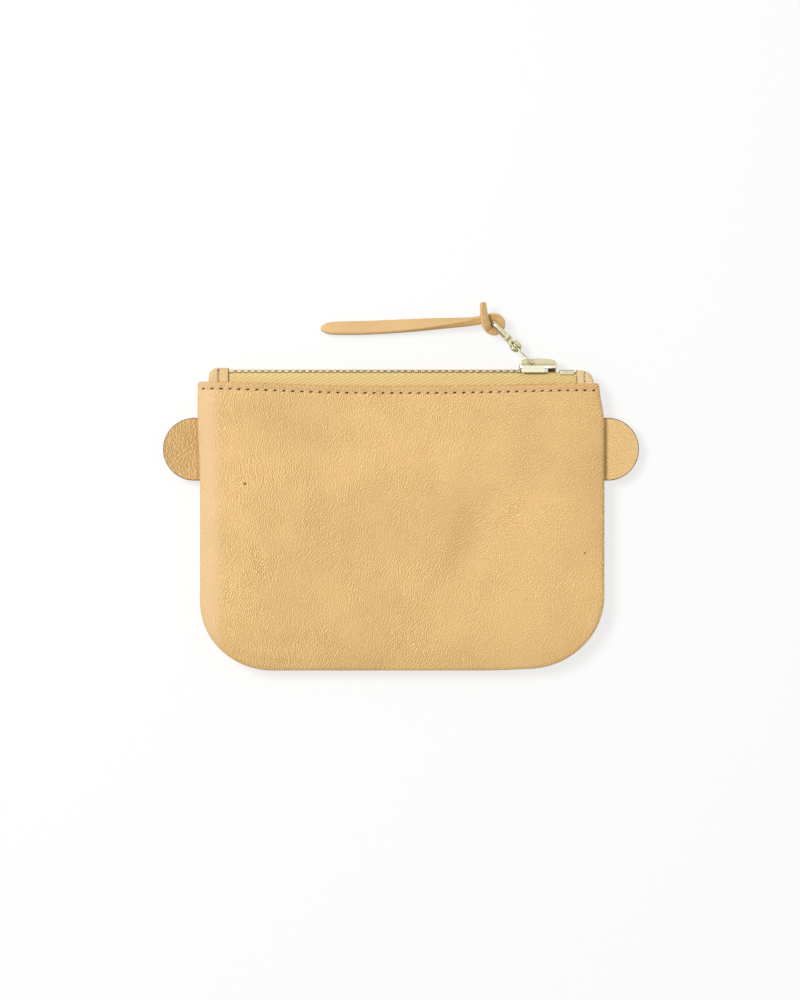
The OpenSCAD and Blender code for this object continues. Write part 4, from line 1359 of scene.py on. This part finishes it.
def bow():
    """A long U of wire, from the yoke to the bar that the strap hangs on."""
    leg = [(YOKE + 0.6, LEG_Z), (YOKE + 1.6, LEG_Z)]
    leg += [(s, LEG_Z) for s in np.linspace(YOKE + 2.2, SHACKLE_LEN - BEND_R, 8)]
    line = np.array(mirrored(leg + arc(SHACKLE_LEN - BEND_R, LEG_Z - BEND_R, BEND_R, 90, 0, 10)[1:]))
    t = ring_angles(24)
    rings = [at_pin(s - WIRE_R * way_z * np.cos(t), z + WIRE_R * way_s * np.cos(t), WIRE_WIDE * np.sin(t))
             for (s, z), (way_s, way_z) in zip(line, unit(np.gradient(line, axis=0)))]
    return Shape().add(rings, closed_tube(len(line), len(t)))


def rivet():
    """A pin through fork and eye, with a domed head at both ends."""
    dome = np.radians(np.linspace(82, 10, 9))
    head = [(RIVET_R * math.cos(a), CHEEK_OUT + 0.1 + 0.68 * math.sin(a)) for a in dome]
    head += [(RIVET_R, CHEEK_OUT + 0.08), (RIVET_R - 0.02, CHEEK_OUT - 0.02), (0.6, CHEEK_OUT - 0.02)]
    return Shape().lathe(mirrored(head), at_pin)


cast("pull_link_plate", link_plate(), pale_gold, 0.12, "link", "pull_link")
dress(make("pull_link_bar", link_bar(), [pale_gold], sharp=60), "link", "pull_link")
cast("pull_shackle_fork", fork(), pale_gold, 0.26, "shackle", "pull_shackle", 4)
dress(make("pull_shackle_bow", bow(), [pale_gold], sharp=60), "shackle", "pull_shackle")
dress(make("pull_rivet", rivet(), [pale_gold]), "shackle", "shackle_pin")


# The strap: flat at its free end, it turns on edge, loops round the shackle's bar and crosses itself

STRAP_LOW, STRAP_HIGH = node_box("pull_strap")
LOOP_OFF = (0.35, -0.28)
LOOP_R = 2.4
LOOP_ANGLES = (104, -132)
STRAP_SOFT = 0.75
STRAP_TIP = 4.2
STRAP_CUT = 0.6
# Place, turn about its own line in degrees, width and thickness: to the loop, round it and along the tail.
STRAP_WAY = [
    (STRAP_LOW[0], 66.42, 2.15, 14, 4.5, 2.0), (-23.5, 66.60, 2.15, 14, 4.5, 2.05),
    (-19.0, 66.66, 2.15, 14, 4.55, 2.1), (-12.0, 66.76, 2.25, 16, 4.6, 2.15),
    (-4.0, 67.10, 2.5, 19, 4.55, 2.2), (4.0, 67.56, 2.9, 26, 4.3, 2.3), (11.0, 68.00, 3.4, 38, 3.9, 2.45),
    (17.0, 68.34, 3.8, 54, 3.4, 2.6), (22.0, 68.64, 4.1, 72, 3.0, 2.75), (25.5, 69.05, 4.25, 86, 2.8, 2.8)]
round_bar = arc(*(BAR_AT[:2] + LOOP_OFF), LOOP_R, *LOOP_ANGLES, 13)
climb = 4.35 + 1.35 * np.linspace(0, 1, len(round_bar)) ** 1.5
STRAP_WAY += [(x, y, z, 90, 2.6, 2.7) for (x, y), z in zip(round_bar, climb)]
STRAP_WAY += [
    (28.75, 67.0, 6.55, 90, 2.6, 2.75), (28.25, 68.4, 6.98, 90, 2.6, 2.75), (27.85, 70.2, 7.1, 90, 2.55, 2.6),
    (27.6, 72.4, 7.12, 90, 2.5, 2.3), (27.4, STRAP_HIGH[1], 7.1, 90, 2.45, 1.9)]


def spline(points, per):
    """A smooth line through points."""
    ends = np.concatenate([2 * points[:1] - points[1:2], points, 2 * points[-1:] - points[-2:-1]])
    out = []
    for p0, p1, p2, p3 in zip(ends, ends[1:], ends[2:], ends[3:]):
        a, b, c = p2 - p0, 2 * p0 - 5 * p1 + 4 * p2 - p3, 3 * p1 - p0 - 3 * p2 + p3
        out += [0.5 * (2 * p1 + a * s + b * s ** 2 + c * s ** 3) for s in np.arange(per) / per]
    return np.array(out + [points[-1]])


def strap():
    line = spline(np.array(STRAP_WAY), 6)
    run = running(line[:, :3])
    long = run[-1]
    # Sections close together at the round tip and at the cut tail.
    at = np.unique(np.concatenate([
        2.4 * np.linspace(0, 1, 18) ** 1.6, np.linspace(2.4, 9, 16), np.linspace(9, long - STRAP_CUT, 180),
        long - STRAP_CUT + STRAP_CUT * np.sin(np.linspace(0, math.pi / 2, 6))]))
    x, y, z, turn, width, thick = (np.interp(at, run, part) for part in line.T)
    centre = columns(x, y, z)
    way = unit(np.gradient(centre, axis=0))
    side = unit(columns(-way[:, 1], way[:, 0], 0.0))
    turn = np.radians(turn)[:, None]
    grain_n = np.cos(turn) * np.cross(way, side) + np.sin(turn) * side
    width_n = np.cross(grain_n, way)
    tip = np.clip(1 - (1 - np.clip(at / STRAP_TIP, 0, 1)) ** 2, 0.003, 1) ** 0.55
    tip = tip * (0.92 + 0.08 * ramp(at, 0, 9))
    tail = 0.86 + 0.14 * np.sqrt(np.clip((long - at) / 0.35, 0.0, 1.0))
    half_w = width / 2 * tip * tail
    half_t = thick / 2 * (0.55 + 0.45 * tip) * tail
    rings, flats = [], []
    for k, (w, t) in enumerate(zip(half_w, half_t)):
        r = min(STRAP_SOFT, w * 0.8, t * 0.8)
        corner = np.array(arc(w - r, t - r, r, 0, 90, 6))
        top = np.array([((w - r) * f, t + 0.05 * (1 - abs(f)) * t) for f in (0.5, 0.0, -0.5)])
        upper = np.concatenate([corner, top, corner[::-1] * (-1, 1)])
        loop = np.concatenate([upper, -upper])
        rings.append(centre[k] + np.outer(loop[:, 0], width_n[k]) + np.outer(loop[:, 1], grain_n[k]))
        flats.append(columns(at[k], loop.sum(axis=1)))
    n = len(loop)
    edges = {(j + middle) % n for middle in (0, n // 2) for j in (-2, -1, 0, 1)}
    slots = [int(j in edges) for j in range(n)] * (len(rings) - 1) + [1, 1]
    shape = Shape().add(rings, closed_tube(len(rings), n), slots, flats)
    return make("pull_strap_leather", shape, [strap_leather, edge_leather], sharp=70)


dress(strap(), "strap", "pull_strap")


# Floor, light and camera

FLOOR_HALF = 2500.0
FLOOR_Z = -0.15
# The share of plain white in the floor where it is seen, straight or mirrored.
FLOOR_GLOW = 0.72
WHITE = (1, 1, 1, 1)


def floor_look():
    look = Look("floor_paper")
    tooth = look.noise(look.place(), 0.8, 3.0, 0.6)
    shade = look.mix(tooth, linear(246, 246, 246), linear(250, 250, 250))
    look.finish(shade, look.span(tooth, 0.3, 0.7, 0.85, 0.95), tooth, 0.02, Specular_IOR_Level=0.1)
    glow = look.value("Emission", {"Color": WHITE})
    _, seen = look.rays()
    both = look.value("MixShader", {0: seen * FLOOR_GLOW, 1: look.surface, 2: glow})
    look.put(look.out.inputs["Surface"], both)
    return look.material


corners = [(a * FLOOR_HALF, b * FLOOR_HALF, FLOOR_Z) for a, b in ((-1, -1), (1, -1), (1, 1), (-1, 1))]
make("floor", Shape().add(corners, [(0, 1, 2, 3)]), [floor_look()])

# The world lights evenly. In metal it shows darker towards the horizon, most of all to the lower left.
FILL_LIGHT = 0.50
SKY_UP = (0.28, 0.28, 0.918)
SKY_SPAN = (0.05, 0.75, 0.18, 1.0)
scene.world = bpy.data.worlds.new("studio")
scene.world.use_nodes = True
sky = Nodes(scene.world.node_tree)
camera_ray, seen = sky.rays()
where = sky.value("TexCoord", {}, "Generated")
height = sky.value("VectorMath", {0: where, 1: SKY_UP}, "Value", operation="DOT_PRODUCT")
bright = sky.math("MAXIMUM", sky.span(height, *SKY_SPAN), camera_ray)
fill = sky.value("Background", {"Color": WHITE, "Strength": FILL_LIGHT})
shown = sky.value("Background", {"Color": WHITE, "Strength": bright})
mixed = sky.value("MixShader", {0: seen, 1: fill, 2: shown})
sky.node("OutputWorld", {"Surface": mixed})

# In metres, with the power in watts.
LAMP_AT = Vector((-0.46, 0.30, 0.90))
lamp = bpy.data.lights.new("key_lamp", "AREA")
lamp.shape = "DISK"
lamp.size = 0.42
lamp.energy = 7.2
light = bpy.data.objects.new("key_lamp", lamp)
light.location = LAMP_AT
light.rotation_euler = (-LAMP_AT).to_track_quat("-Z", "Y").to_euler()
scene.collection.objects.link(light)

VIEW_CENTRE = (-0.33, 9.0)
VIEW_TALL = 333.33
VIEW_FAR = 1200.0
camera_data = bpy.data.cameras.new("camera")
camera_data.sensor_width = 36.0
camera_data.lens = camera_data.sensor_width / VIEW_TALL * VIEW_FAR
camera_data.clip_start, camera_data.clip_end = 0.05, 20.0
camera = bpy.data.objects.new("camera", camera_data)
scene.collection.objects.link(camera)
camera.location = (VIEW_CENTRE[0] * MM, VIEW_CENTRE[1] * MM, (TOP_Z + VIEW_FAR) * MM)
scene.camera = camera

scene.view_settings.view_transform = "Standard"
